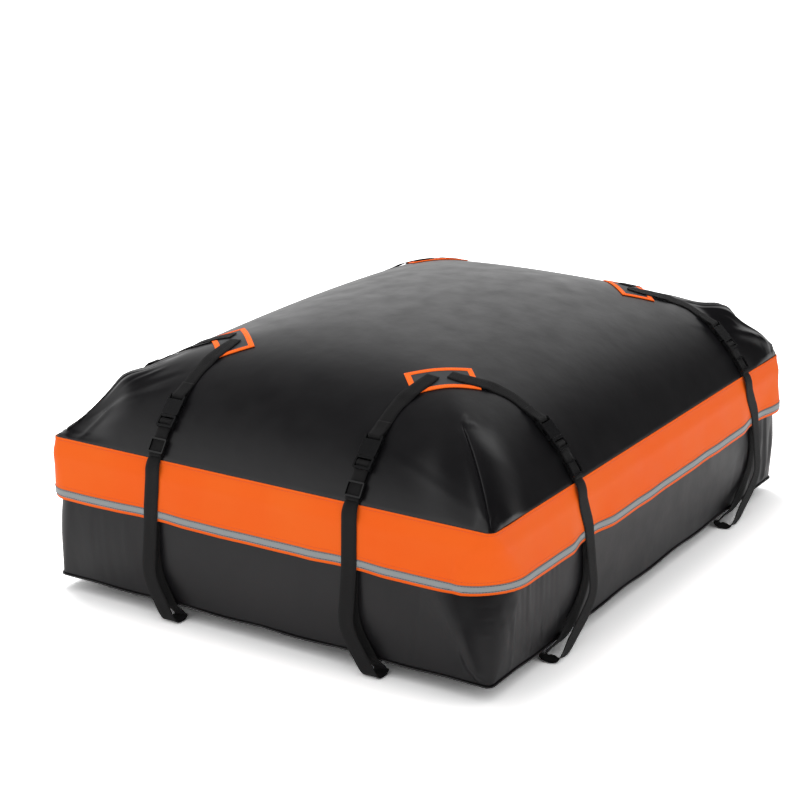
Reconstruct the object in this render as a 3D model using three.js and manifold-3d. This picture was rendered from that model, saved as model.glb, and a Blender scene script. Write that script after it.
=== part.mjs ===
import * as THREE from 'three';
import { mergeVertices } from 'three/addons/utils/BufferGeometryUtils.js';
import Module from 'manifold-3d';

// Soft roof cargo bag, packed full and standing on its base. Millimetres, +Z up.
// The origin is the middle of the base. The short end that carries the zip slider faces -Y.

// Bag body: a tub below the zip and a domed lid above it, both of coated sheet
const WIDTH = 860;
const LENGTH = 1120;
const SEAM_CORNER = 10;
const HEM_CORNER = 35;
const NEAR_HEM_CORNER = 90;
const BASE_CORNER = 12;
const SHEET = 1.8;
const BASE_SAG = 28;
const BASE_FLAT_INSET = 110;
const TUB_WALL = 208;
const WALL_BULGE = 5;
const ZIP_WIDTH = 14;
const LID_WALL = 30;
const LID_RISE = 150;
const LID_REACH = 95;
const CROWN_RISE = 40;
const HIP_SOFTNESS = 0.2;

// Storm flap over the zip, with a reflective tape near its lower edge
const FLAP_DROP = 106;
const FLAP_STANDOFF = 8;
const FLAP_SHEET = 1.5;
const TAPE_WIDTH = 13;
const TAPE_MARGIN = 5;
const TAPE_SHEET = 0.4;

// Zip
const CHAIN_SHEET = 1.6;
const SLIDER_LENGTH = 24;
const SLIDER_PLATE = 1.5;
const SLIDER_INSET = 130;
const PULL_LENGTH = 24;
const PULL_SHEET = 1.4;

// Oblong patches that the straps are sewn to, each with its long side across the lid's hip
const PATCH_LENGTH = 112;
const PATCH_WIDTH = 62;
const PATCH_INSET = 219;
const PATCH_SHEET = 1.2;
const STRAP_END_GAP = 14;

// Webbing and clips
const WEB_WIDTH = 25;
const WEB_SHEET = 1.4;
const BUCKLE_INSET = 50;
const GLIDE_INSET = 11;
const HOUSING_LENGTH = 38;
const PLUG_LENGTH = 23;
const BUCKLE_WALL = 3.2;
const MOUTH_HEIGHT = 6.4;
const SHELL_WALL = 1.2;
const PRONG_LENGTH = 21;
const BAR = 2;
const END_BAR = 2.8;
const SLOT = 5.5;
const GLIDE_LENGTH = 26;
const GLIDE_RAIL = 2.4;

// Clearances: between sewn or touching pieces, under webbing, and between webbing and a clip
const TOUCH = 0.3;
const LAY = 0.5;
const FIT = 0.5;
const SIDE_FIT = 0.6;

// Mesh fineness
const SIDE_STEPS = [8, 10];
const CORNER_STEPS = 3;
const PATCH_STEPS = 6;

// Levels that follow from the sizes above
const TUB_TOP = BASE_SAG + TUB_WALL;
const LID_EDGE = TUB_TOP + ZIP_WIDTH;
const LID_SEAM = LID_EDGE + LID_WALL;
const FLAP_BOTTOM = LID_SEAM - FLAP_DROP;
const FLAP_FACE = FLAP_STANDOFF + FLAP_SHEET;
const PATCH_TOP = LAY + PATCH_SHEET;
const WEB_MIDDLE = LAY + WEB_SHEET / 2;

// Heights of the clip's layers above the lid
const CLIP_BASE = LAY + WEB_SHEET + FIT;
const RETURN_LAYER = CLIP_BASE + 0.1 + WEB_SHEET / 2;
const BAR_BOTTOM = RETURN_LAYER + WEB_SHEET / 2 + FIT;
const UPPER_LAYER = BAR_BOTTOM + WEB_SHEET / 2;
const BAR_TOP = BAR_BOTTOM + BAR;
const OVER_BAR = BAR_TOP + SIDE_FIT + WEB_SHEET / 2;
const END_BAR_BOTTOM = BAR_BOTTOM + WEB_SHEET + SIDE_FIT;
const PLUG_TOP = Math.max(END_BAR_BOTTOM + END_BAR, OVER_BAR + WEB_SHEET / 2 + FIT);
const MOUTH_HALF = WEB_WIDTH / 2 + SIDE_FIT;
const CLIP_HALF = MOUTH_HALF + BUCKLE_WALL;

const UP = new THREE.Vector3(0, 0, 1);
const SIDES = {
  front: { out: new THREE.Vector3(0, -1, 0), along: new THREE.Vector3(1, 0, 0), reach: LENGTH / 2 },
  back: { out: new THREE.Vector3(0, 1, 0), along: new THREE.Vector3(1, 0, 0), reach: LENGTH / 2 },
  right: { out: new THREE.Vector3(1, 0, 0), along: new THREE.Vector3(0, 1, 0), reach: WIDTH / 2 },
  left: { out: new THREE.Vector3(-1, 0, 0), along: new THREE.Vector3(0, 1, 0), reach: WIDTH / 2 },
};

// corner: which patch the strap comes from; clip and band: sideways shift at the buckle and at the
// flap's hem; drift: how far the loop has slid sideways where it touches the ground.
const STRAPS = [
  { name: 'front_left', side: 'front', corner: -1, clip: 3, band: -4, drift: 42 },
  { name: 'front_right', side: 'front', corner: 1, clip: -30, band: -31, drift: 48 },
  { name: 'right_front', side: 'right', corner: -1, clip: 55, band: 86, drift: -114 },
  { name: 'right_rear', side: 'right', corner: 1, clip: 54, band: 96, drift: -114 },
  { name: 'back_right', side: 'back', corner: 1, clip: -22, band: -18, drift: -60 },
  { name: 'back_left', side: 'back', corner: -1, clip: 18, band: 22, drift: -52 },
  { name: 'left_rear', side: 'left', corner: 1, clip: -30, band: -26, drift: 70 },
  { name: 'left_front', side: 'left', corner: -1, clip: -24, band: -28, drift: 62 },
];

const wasm = await Module();
wasm.setup();

const BLACK_SHEET = { color: 0x242326, roughness: 0.32, metalness: 0 };
const ORANGE_SHEET = { color: 0xff6b2d, roughness: 0.4, metalness: 0 };
const GREY_TAPE = { color: 0x8f9496, roughness: 0.35, metalness: 0.2 };
const BLACK_WEB = { color: 0x1e1d1e, roughness: 0.85, metalness: 0 };
const BLACK_PLASTIC = { color: 0x151516, roughness: 0.3, metalness: 0 };
const ZIP_METAL = { color: 0x3a3b3e, roughness: 0.35, metalness: 0.8 };

const bag = new THREE.Group();

function addMesh(name, geometry, look) {
  const mesh = new THREE.Mesh(geometry, new THREE.MeshStandardMaterial(look));
  mesh.name = name;
  bag.add(mesh);
  return mesh;
}

// Lid shape

// Distance in from the lid's edge, with hips that soften away from the corner
function edgeDistance(u, v) {
  if (u < SEAM_CORNER && v < SEAM_CORNER) {
    return SEAM_CORNER - Math.hypot(SEAM_CORNER - u, SEAM_CORNER - v);
  }
  const inner = Math.max(u - SEAM_CORNER, 0) * Math.max(v - SEAM_CORNER, 0);
  return (u + v - Math.sqrt((u - v) ** 2 + HIP_SOFTNESS ** 2 * inner)) / 2;
}

function lidHeight(x, y) {
  const u = WIDTH / 2 - Math.abs(x);
  const v = LENGTH / 2 - Math.abs(y);
  const slope = LID_RISE * (1 - Math.exp(-edgeDistance(u, v) / LID_REACH));
  const crown = CROWN_RISE * (1 - (2 * x / WIDTH) ** 2) * (1 - (2 * y / LENGTH) ** 2);
  return LID_SEAM + slope + crown;
}

function lidNormal(x, y) {
  const step = 2;
  const dx = (lidHeight(x + step, y) - lidHeight(x - step, y)) / (2 * step);
  const dy = (lidHeight(x, y + step) - lidHeight(x, y - step)) / (2 * step);
  return new THREE.Vector3(-dx, -dy, 1).normalize();
}

function lidPoint(x, y, height) {
  const point = new THREE.Vector3(x, y, lidHeight(x, y));
  return point.addScaledVector(lidNormal(x, y), height);
}

function wallBulge(z) {
  return WALL_BULGE * Math.sin(Math.PI * (z - BASE_SAG) / TUB_WALL);
}

// The bag's corners are sharp at the lid seam and at the ground, and widest at the flap's hem.
// The front right one, which stands nearest in the photo, is slack and rounds off the most.
function cornerRadius(z, isNear) {
  const widest = isNear ? NEAR_HEM_CORNER : HEM_CORNER;
  if (z > FLAP_BOTTOM) {
    return SEAM_CORNER + (widest - SEAM_CORNER) * Math.max((LID_SEAM - z) / FLAP_DROP, 0);
  }
  const share = Math.max((z - BASE_SAG) / (FLAP_BOTTOM - BASE_SAG), 0);
  return BASE_CORNER + (widest - BASE_CORNER) * share;
}

// Closed skins built from rings of points

// A rounded rectangle that lies the given offset outside the bag's outline
function ring(offset, height) {
  const halfX = WIDTH / 2 + offset;
  const halfY = LENGTH / 2 + offset;
  const quarters = [[1, 1], [-1, 1], [-1, -1], [1, -1]];
  const radii = quarters.map(([sx, sy]) => {
    const corner = typeof height === 'function' ? SEAM_CORNER : cornerRadius(height, sx > 0 && sy < 0);
    return Math.max(corner + offset, SEAM_CORNER / 2);
  });
  const points = [];
  quarters.forEach(([sx, sy], quarter) => {
    const radius = radii[quarter];
    const cx = sx * (halfX - radius);
    const cy = sy * (halfY - radius);
    for (let i = 0; i <= CORNER_STEPS; i += 1) {
      const angle = (quarter + i / CORNER_STEPS) * Math.PI / 2;
      points.push([cx + radius * Math.cos(angle), cy + radius * Math.sin(angle)]);
    }
    const side = 2 * (quarter % 2 === 0 ? halfX : halfY);
    const straight = side - radius - radii[(quarter + 1) % quarters.length];
    const steps = SIDE_STEPS[quarter % 2];
    const [x, y] = points[points.length - 1];
    const angle = (quarter + 2) * Math.PI / 2;
    for (let i = 1; i < steps; i += 1) {
      const run = straight * i / steps;
      points.push([x + run * Math.cos(angle), y + run * Math.sin(angle)]);
    }
  });
  return points.map(([x, y]) => {
    const z = typeof height === 'function' ? height(x, y) : height;
    return new THREE.Vector3(x, y, z);
  });
}

function signedVolume(positions, index) {
  let volume = 0;
  const corner = [new THREE.Vector3(), new THREE.Vector3(), new THREE.Vector3()];
  for (let i = 0; i < index.length; i += 3) {
    corner.forEach((point, k) => point.fromArray(positions, 3 * index[i + k]));
    volume += corner[0].dot(corner[1].cross(corner[2])) / 6;
  }
  return volume;
}

// Joins rings of equal length; a ring of one point is a pole. With closed, the last ring meets
// the first; without it, both ends are poles or are capped flat.
function skin(rings, closed = false) {
  const positions = [];
  const first = rings.map((points) => {
    const start = positions.length / 3;
    points.forEach((point) => positions.push(point.x, point.y, point.z));
    return start;
  });
  const span = (p, q) => Math.hypot(...[0, 1, 2].map((k) => positions[3 * p + k] - positions[3 * q + k]));
  const index = [];
  const spans = closed ? rings.length : rings.length - 1;
  for (let r = 0; r < spans; r += 1) {
    const next = (r + 1) % rings.length;
    const count = Math.max(rings[r].length, rings[next].length);
    for (let i = 0; i < count; i += 1) {
      const j = (i + 1) % count;
      const a = first[r] + (rings[r].length > 1 ? i : 0);
      const b = first[r] + (rings[r].length > 1 ? j : 0);
      const c = first[next] + (rings[next].length > 1 ? i : 0);
      const d = first[next] + (rings[next].length > 1 ? j : 0);
      if (a !== b && c !== d && span(b, c) < span(a, d) - 1e-6) {
        index.push(a, b, c, b, d, c);
      } else {
        if (a !== b) index.push(a, b, d);
        if (c !== d) index.push(a, d, c);
      }
    }
  }
  if (!closed && rings[0].length > 1) {
    const last = rings.length - 1;
    for (let i = 1; i < rings[0].length - 1; i += 1) {
      index.push(first[0], first[0] + i + 1, first[0] + i);
      index.push(first[last], first[last] + i, first[last] + i + 1);
    }
  }
  if (signedVolume(positions, index) < 0) index.reverse();
  const geometry = new THREE.BufferGeometry();
  geometry.setAttribute('position', new THREE.Float32BufferAttribute(positions, 3));
  geometry.setIndex(index);
  geometry.computeVertexNormals();
  return geometry;
}

// A band round the bag whose cross-section is a closed list of [offset, height]
function band(section) {
  return skin(section.map(([offset, height]) => ring(offset, height)), true);
}

// Solids for booleans

function toSolid(geometry) {
  const plain = geometry.clone();
  plain.deleteAttribute('normal');
  plain.deleteAttribute('uv');
  const merged = mergeVertices(plain, 1e-4);
  return new wasm.Manifold(new wasm.Mesh({
    numProp: 3,
    vertProperties: new Float32Array(merged.attributes.position.array),
    triVerts: new Uint32Array(merged.index.array),
  }));
}

function toGeometry(solid) {
  const mesh = solid.getMesh();
  const geometry = new THREE.BufferGeometry();
  geometry.setAttribute('position', new THREE.BufferAttribute(mesh.vertProperties, 3));
  geometry.setIndex(new THREE.BufferAttribute(mesh.triVerts, 1));
  geometry.computeVertexNormals();
  return geometry;
}

function block([x0, x1], [y0, y1], [z0, z1]) {
  const box = new THREE.BoxGeometry(x1 - x0, y1 - y0, z1 - z0);
  box.translate((x0 + x1) / 2, (y0 + y1) / 2, (z0 + z1) / 2);
  return toSolid(box);
}

// A plate with rounded corners in plan
function plate(halfWidth, [y0, y1], [z0, z1], radius) {
  const shape = new THREE.Shape();
  shape.moveTo(-halfWidth + radius, y0);
  shape.lineTo(halfWidth - radius, y0);
  shape.absarc(halfWidth - radius, y0 + radius, radius, -Math.PI / 2, 0);
  shape.lineTo(halfWidth, y1 - radius);
  shape.absarc(halfWidth - radius, y1 - radius, radius, 0, Math.PI / 2);
  shape.lineTo(-halfWidth + radius, y1);
  shape.absarc(-halfWidth + radius, y1 - radius, radius, Math.PI / 2, Math.PI);
  shape.lineTo(-halfWidth, y0 + radius);
  shape.absarc(-halfWidth + radius, y0 + radius, radius, Math.PI, 1.5 * Math.PI);
  const extruded = new THREE.ExtrudeGeometry(shape, {
    depth: z1 - z0, bevelEnabled: false, curveSegments: 3,
  });
  extruded.translate(0, 0, z0);
  return toSolid(extruded);
}

// Webbing: a flat strip along a route of { point, across } stations

function station(point, across) {
  return { point, across };
}

function webbing(stations, stepsPerSpan) {
  const curve = new THREE.CatmullRomCurve3(stations.map((s) => s.point), false, 'centripetal');
  const spans = stations.length - 1;
  const count = spans * stepsPerSpan;
  const sections = [];
  for (let i = 0; i <= count; i += 1) {
    const point = curve.getPoint(i / count);
    const tangent = curve.getTangent(i / count);
    const from = Math.min(Math.floor(i / stepsPerSpan), spans - 1);
    const share = i / stepsPerSpan - from;
    const across = stations[from].across.clone().lerp(stations[from + 1].across, share);
    across.addScaledVector(tangent, -across.dot(tangent)).normalize();
    const face = new THREE.Vector3().crossVectors(tangent, across);
    const corners = [[1, 1], [-1, 1], [-1, -1], [1, -1]];
    sections.push(corners.map(([side, up]) => point.clone()
      .addScaledVector(across, side * WEB_WIDTH / 2)
      .addScaledVector(face, up * WEB_SHEET / 2)));
  }
  return skin(sections);
}

// Places on one side of the bag

function wallPoint(side, at, offset, z) {
  return new THREE.Vector3(0, 0, z)
    .addScaledVector(side.along, at)
    .addScaledVector(side.out, side.reach + offset);
}

function lidStation(side, at, inset, height) {
  const flat = wallPoint(side, at, -inset, 0);
  const normal = lidNormal(flat.x, flat.y);
  const across = new THREE.Vector3().crossVectors(side.out, UP);
  across.addScaledVector(normal, -across.dot(normal)).normalize();
  return station(lidPoint(flat.x, flat.y, height), across);
}

// A frame that touches the lid: x across the strap, y down the slope, z away from the lid
function lidFrame(side, at, inset) {
  const step = 2;
  const high = wallPoint(side, at, -inset - step, 0);
  const low = wallPoint(side, at, -inset + step, 0);
  const fall = lidHeight(high.x, high.y) - lidHeight(low.x, low.y);
  const down = side.out.clone().multiplyScalar(2 * step).addScaledVector(UP, -fall).normalize();
  const across = new THREE.Vector3().crossVectors(side.out, UP);
  const away = new THREE.Vector3().crossVectors(across, down);
  const origin = wallPoint(side, at, -inset, 0);
  origin.z = lidHeight(origin.x, origin.y);
  return new THREE.Matrix4().makeBasis(across, down, away).setPosition(origin);
}

function frameStation(frame, down, height) {
  const across = new THREE.Vector3().setFromMatrixColumn(frame, 0);
  return station(new THREE.Vector3(0, down, height).applyMatrix4(frame), across);
}

// Buckle and glide, drawn in the lid frame with y down the slope from the buckle's middle

const PLUG_START = (HOUSING_LENGTH - PLUG_LENGTH) / 2;
const PLUG_END = PLUG_START + FIT + PLUG_LENGTH;
const HOUSING_START = PLUG_START - HOUSING_LENGTH;
const HOUSING_BOTTOM = LAY + 0.1;
const MOUTH_BOTTOM = HOUSING_BOTTOM + SHELL_WALL;
const MOUTH_TOP = MOUTH_BOTTOM + MOUTH_HEIGHT;
const HOUSING_TOP = MOUTH_TOP + SHELL_WALL;
const HOUSING_BAR_BOTTOM = HOUSING_BOTTOM + WEB_SHEET + 3.2 * FIT;
const HOUSING_BAR_TOP = HOUSING_BAR_BOTTOM + BAR + 0.4;
const HOUSING_BAR_END = HOUSING_START + END_BAR;
const HOUSING_SLOT_END = HOUSING_BAR_END + SLOT + 1;
const EDGE_ROUND = 4;
const END_BAR_START = PLUG_END - 4;
const CENTRE_BAR_END = END_BAR_START - SLOT;
const CENTRE_BAR_START = CENTRE_BAR_END - 3.5;
const PLUG_BODY_END = CENTRE_BAR_START - SLOT;

function buckleHousing() {
  const across = [-MOUTH_HALF, MOUTH_HALF];
  const slotWall = 4.5;
  const windowFrom = HOUSING_SLOT_END + slotWall + 3;
  const windowTo = windowFrom + PRONG_LENGTH / 2;
  const windowHeight = [MOUTH_BOTTOM + 1, MOUTH_TOP - 1];
  const beyond = CLIP_HALF + 1;
  let solid = plate(CLIP_HALF, [HOUSING_START, PLUG_START], [HOUSING_BOTTOM, HOUSING_TOP], EDGE_ROUND);
  const cuts = [
    block(across, [HOUSING_SLOT_END + slotWall, PLUG_START + 1], [MOUTH_BOTTOM, MOUTH_TOP]),
    block([MOUTH_HALF - 1, beyond], [windowFrom, windowTo], windowHeight),
    block([-beyond, 1 - MOUTH_HALF], [windowFrom, windowTo], windowHeight),
    block(across, [HOUSING_BAR_END, HOUSING_SLOT_END], [HOUSING_BOTTOM - 1, HOUSING_TOP + 1]),
    block(across, [HOUSING_START - 1, HOUSING_BAR_END + 1], [HOUSING_BOTTOM - 1, HOUSING_BAR_BOTTOM]),
    block(across, [HOUSING_START - 1, HOUSING_BAR_END + 1], [HOUSING_BAR_TOP, HOUSING_TOP + 1]),
  ];
  cuts.forEach((cut) => {
    solid = solid.subtract(cut);
  });
  return toGeometry(solid);
}

function bucklePlug() {
  const across = [-MOUTH_HALF, MOUTH_HALF];
  const bodyStart = PLUG_START + FIT;
  const prongHeight = [Math.max(MOUTH_BOTTOM + FIT, CLIP_BASE + 0.1), MOUTH_TOP - FIT];
  const prongEdge = MOUTH_HALF - FIT;
  const prongWidth = 4.5;
  const tip = bodyStart - PRONG_LENGTH;
  const barb = PRONG_LENGTH / 3;
  let solid = plate(CLIP_HALF, [bodyStart, PLUG_END], [CLIP_BASE, PLUG_TOP], EDGE_ROUND - 1);
  solid = solid.subtract(block(across, [PLUG_BODY_END, END_BAR_START], [0, PLUG_TOP + 1]));
  solid = solid.subtract(block(across, [END_BAR_START - 1, PLUG_END + 1], [0, END_BAR_BOTTOM]));
  const centreBar = [-MOUTH_HALF - 0.5, MOUTH_HALF + 0.5];
  solid = solid.add(block(centreBar, [CENTRE_BAR_START, CENTRE_BAR_END], [BAR_BOTTOM, BAR_TOP]));
  [-1, 1].forEach((hand) => {
    const arm = [hand * (prongEdge - prongWidth), hand * (prongEdge - 1)].sort((a, b) => a - b);
    const head = [hand * (prongEdge - prongWidth), hand * prongEdge].sort((a, b) => a - b);
    solid = solid.add(block(arm, [tip, bodyStart + 1], prongHeight));
    solid = solid.add(block(head, [tip, tip + barb], prongHeight));
  });
  const guide = [tip + barb, bodyStart + 1];
  return toGeometry(solid.add(block([-prongWidth / 2, prongWidth / 2], guide, prongHeight)));
}

function triGlide() {
  const half = MOUTH_HALF + GLIDE_RAIL;
  const reach = GLIDE_LENGTH / 2;
  const barBottom = UPPER_LAYER + WEB_SHEET / 2 + SIDE_FIT + FIT;
  const top = barBottom + BAR;
  const across = [-MOUTH_HALF, MOUTH_HALF];
  const barWidth = 3;
  let solid = plate(half, [-reach, reach], [CLIP_BASE, top], barWidth);
  solid = solid.subtract(block(across, [barWidth - reach, reach - barWidth], [0, top + 1]));
  solid = solid.subtract(block(across, [-reach - 1, reach + 1], [0, barBottom]));
  const rails = [-MOUTH_HALF - 0.5, MOUTH_HALF + 0.5];
  solid = solid.add(block(rails, [-barWidth, barWidth], [CLIP_BASE + 0.1, BAR_BOTTOM]));
  return toGeometry(solid);
}

// Strap routes

// From the patch down to the buckle, round its bar and back over itself
function upperStrapRoute(side, patchAt, clipAt, buckleFrame) {
  const overPatch = PATCH_TOP + SIDE_FIT + WEB_SHEET / 2;
  const patchEdge = PATCH_INSET - (PATCH_LENGTH + PATCH_WIDTH) / 2 / Math.SQRT2;
  const start = PATCH_INSET - STRAP_END_GAP;
  const end = BUCKLE_INSET + 1.56 * HOUSING_LENGTH;
  const lift = HOUSING_BAR_BOTTOM - FIT - WEB_SHEET / 2;
  const stations = [];
  const steps = 7;
  for (let i = 0; i <= steps; i += 1) {
    const share = i / steps;
    const inset = start + (end - start) * share;
    const at = patchAt + (clipAt - patchAt) * share * share * (3 - 2 * share);
    const height = inset > patchEdge - WEB_WIDTH / 2 ? overPatch : WEB_MIDDLE;
    stations.push(lidStation(side, at, inset, height));
  }
  const barMiddle = (HOUSING_START + HOUSING_BAR_END) / 2;
  const barHalf = (HOUSING_BAR_TOP - HOUSING_BAR_BOTTOM) / 2;
  const turn = HOUSING_BAR_END + SLOT / 2;
  const overBar = HOUSING_BAR_TOP + SIDE_FIT + WEB_SHEET / 2;
  const turnRound = [
    [HOUSING_START - 2, lift - 0.8],
    [HOUSING_BAR_END, lift - 0.2],
    [turn, HOUSING_BAR_BOTTOM + 0.3 * barHalf],
    [turn + 0.2, HOUSING_BAR_TOP - 0.3 * barHalf],
    [HOUSING_BAR_END, overBar],
    [barMiddle - 1, overBar + 0.1],
    [HOUSING_START - 3, overBar - 1.2],
  ];
  turnRound.forEach(([down, height]) => stations.push(frameStation(buckleFrame, down, height)));
  const foldHeight = WEB_MIDDLE + WEB_SHEET + FIT;
  const foldStart = BUCKLE_INSET + 0.9 * HOUSING_LENGTH;
  const foldEnd = BUCKLE_INSET + 1.2 * HOUSING_LENGTH;
  stations.push(lidStation(side, clipAt, foldStart, foldHeight + WEB_SHEET));
  stations.push(lidStation(side, clipAt, foldEnd, foldHeight));
  return stations;
}

// Up through the glide, under the end bar, over the centre bar, down and back beneath itself
function adjusterRoute(buckleFrame, glideFrame) {
  const slotMiddle = (PLUG_BODY_END + CENTRE_BAR_START) / 2;
  const overGlideBar = BAR_BOTTOM + FIT + WEB_SHEET / 2;
  const glideReach = GLIDE_LENGTH / 2;
  const inGlide = [[glideReach + 5, overGlideBar], [0, overGlideBar], [-glideReach - 10, overGlideBar]];
  const inPlug = [
    [PLUG_END + 1, UPPER_LAYER],
    [END_BAR_START, UPPER_LAYER],
    [END_BAR_START - 0.4 * SLOT, UPPER_LAYER + 0.4],
    [CENTRE_BAR_END + 0.25 * SLOT, OVER_BAR - 0.4],
    [(CENTRE_BAR_START + CENTRE_BAR_END) / 2, OVER_BAR],
    [CENTRE_BAR_START - 0.2 * SLOT, OVER_BAR - 0.4],
    [slotMiddle - 0.4, (OVER_BAR + RETURN_LAYER) / 2],
    [slotMiddle + 0.3, RETURN_LAYER + 0.6],
    [CENTRE_BAR_START, RETURN_LAYER],
    [PLUG_END + 4, RETURN_LAYER],
  ];
  return [
    ...inGlide.map(([down, height]) => frameStation(glideFrame, down, height)),
    ...inPlug.map(([down, height]) => frameStation(buckleFrame, down, height)),
  ];
}

// How far a loop has slid sideways at one place, from 0 on the wall and flap to 1 on the ground
function slideShare(route, at, lowest) {
  let distance = 0;
  for (let i = Math.min(at, lowest); i < Math.max(at, lowest); i += 1) {
    distance += Math.hypot(route[i + 1][0] - route[i][0], route[i + 1][1] - route[i][1]);
  }
  return (1 + Math.cos(Math.PI * Math.min(2 * distance / TUB_WALL, 1))) / 2;
}

// Sewn on the wall under the flap, down to the ground, out, and up over the flap to the glide
function loopRoute(side, strap, bandAt, clipAt) {
  const across = new THREE.Vector3().crossVectors(side.out, UP);
  const onWall = LAY + WEB_SHEET / 2;
  const ground = TOUCH + WEB_SHEET / 2;
  const overFlap = FLAP_FACE + TOUCH + TAPE_SHEET + TOUCH + WEB_SHEET / 2;
  const sewnTop = FLAP_BOTTOM + 22;
  const standOff = 11;
  const low = TUB_WALL / 4;
  const route = [
    [wallBulge(sewnTop) + onWall, sewnTop],
    [wallBulge(FLAP_BOTTOM) + onWall, FLAP_BOTTOM - 6],
    [wallBulge(2 * low) + onWall + 0.5, BASE_SAG + 1.5 * low],
    [WALL_BULGE + onWall, BASE_SAG + 0.7 * low],
    [onWall + 5, BASE_SAG + 2],
    [-5, 0.44 * BASE_SAG],
    [-8, ground + 6],
    [0, ground + 2.4],
    [1.2 * overFlap, ground + 1.6],
    [overFlap + 0.75 * standOff, ground + 8],
    [overFlap + standOff, BASE_SAG + 0.1 * low],
    [overFlap + 0.85 * standOff, BASE_SAG + low],
    [overFlap + 0.45 * standOff, BASE_SAG + 2 * low],
    [overFlap + 0.08 * standOff, FLAP_BOTTOM - 6],
    [overFlap, FLAP_BOTTOM + 24],
    [overFlap, FLAP_BOTTOM + 48],
    [overFlap, LID_EDGE - 4],
    [overFlap - 0.1 * FLAP_STANDOFF, LID_SEAM - 0.48 * LID_WALL],
  ];
  const lowest = route.findIndex(([offset]) => offset === 0);
  const stations = route.map(([offset, z], i) => {
    const up = (z - FLAP_BOTTOM) / (FLAP_DROP - LID_WALL / 2);
    const lean = i > lowest ? (clipAt - bandAt) * THREE.MathUtils.smoothstep(up, 0, 1) : 0;
    const at = bandAt + lean + strap.drift * slideShare(route, i, lowest);
    return station(wallPoint(side, at, offset, z), across);
  });
  const overSeam = [[0.75 * FLAP_STANDOFF + WEB_SHEET, LID_SEAM - 5], [FLAP_SHEET + WEB_SHEET, LID_SEAM + 1.5]];
  overSeam.forEach(([offset, z]) => stations.push(station(wallPoint(side, clipAt, offset, z), across)));
  stations.push(lidStation(side, clipAt, 5, WEB_MIDDLE));
  stations.push(lidStation(side, clipAt, GLIDE_INSET, WEB_MIDDLE));
  stations.push(lidStation(side, clipAt, GLIDE_INSET + 0.4 * GLIDE_LENGTH, WEB_MIDDLE));
  return stations;
}

function addStrap(strap) {
  const side = SIDES[strap.side];
  const across = side.along.x === 1 ? WIDTH / 2 : LENGTH / 2;
  const patchAt = strap.corner * (across - PATCH_INSET);
  const clipAt = patchAt + strap.clip;
  const bandAt = patchAt + strap.band;
  const buckleFrame = lidFrame(side, clipAt, BUCKLE_INSET);
  const glideFrame = lidFrame(side, clipAt, GLIDE_INSET);
  const upper = upperStrapRoute(side, patchAt, clipAt, buckleFrame);
  addMesh(`upper_strap_${strap.name}`, webbing(upper, 1), BLACK_WEB);
  addMesh(`loop_strap_${strap.name}`, webbing(loopRoute(side, strap, bandAt, clipAt), 2), BLACK_WEB);
  addMesh(`adjuster_web_${strap.name}`, webbing(adjusterRoute(buckleFrame, glideFrame), 1), BLACK_WEB);
  const clips = [
    ['buckle_housing', buckleHousing(), buckleFrame],
    ['buckle_plug', bucklePlug(), buckleFrame],
    ['tri_glide', triGlide(), glideFrame],
  ];
  clips.forEach(([name, geometry, frame]) => {
    const mesh = addMesh(`${name}_${strap.name}`, geometry, BLACK_PLASTIC);
    mesh.applyMatrix4(frame);
  });
}

// Sheet pieces

function addBaseTub() {
  const centre = (z) => [new THREE.Vector3(0, 0, z)];
  const wallLevels = [0.15, 0.33, 0.5, 0.67, 0.85].map((share) => BASE_SAG + share * TUB_WALL);
  const sagInset = 0.36 * BASE_FLAT_INSET;
  const sagHeight = 0.32 * BASE_SAG;
  const rings = [
    centre(0),
    ring(-BASE_FLAT_INSET, 0),
    ring(-sagInset, sagHeight),
    ring(0, BASE_SAG),
    ...wallLevels.map((z) => ring(wallBulge(z), z)),
    ring(0, TUB_TOP),
    ring(-SHEET, TUB_TOP),
    ...wallLevels.reverse().map((z) => ring(wallBulge(z) - SHEET, z)),
    ring(-SHEET, BASE_SAG + 0.4 * SHEET),
    ring(-sagInset, sagHeight + 1.2 * SHEET),
    ring(-BASE_FLAT_INSET, SHEET),
    centre(SHEET),
  ];
  addMesh('base_tub', skin(rings), BLACK_SHEET);
}

function addTopCover() {
  const underside = 2 * SHEET;
  const deepest = WIDTH / 2 - 15;
  const outer = [0.13, 0.32, 0.55, 0.8, 1.1, 1.4, 1.8, 2.3, 2.9].map((share) => share * LID_REACH);
  outer.push(0.85 * deepest, deepest);
  const inner = [0.32, 0.8, 1.4, 2.3].map((share) => share * LID_REACH);
  inner.push(deepest);
  const centre = (drop) => [new THREE.Vector3(0, 0, lidHeight(0, 0) - drop)];
  const rings = [
    centre(0),
    ...outer.reverse().map((inset) => ring(-inset, lidHeight)),
    ring(0, LID_SEAM),
    ring(0, LID_EDGE),
    ring(-SHEET, LID_EDGE),
    ring(-SHEET, LID_SEAM - 0.5 * SHEET),
    ...inner.map((inset) => ring(-inset, (x, y) => lidHeight(x, y) - underside)),
    centre(underside),
  ];
  addMesh('top_cover', skin(rings), BLACK_SHEET);
}

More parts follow.
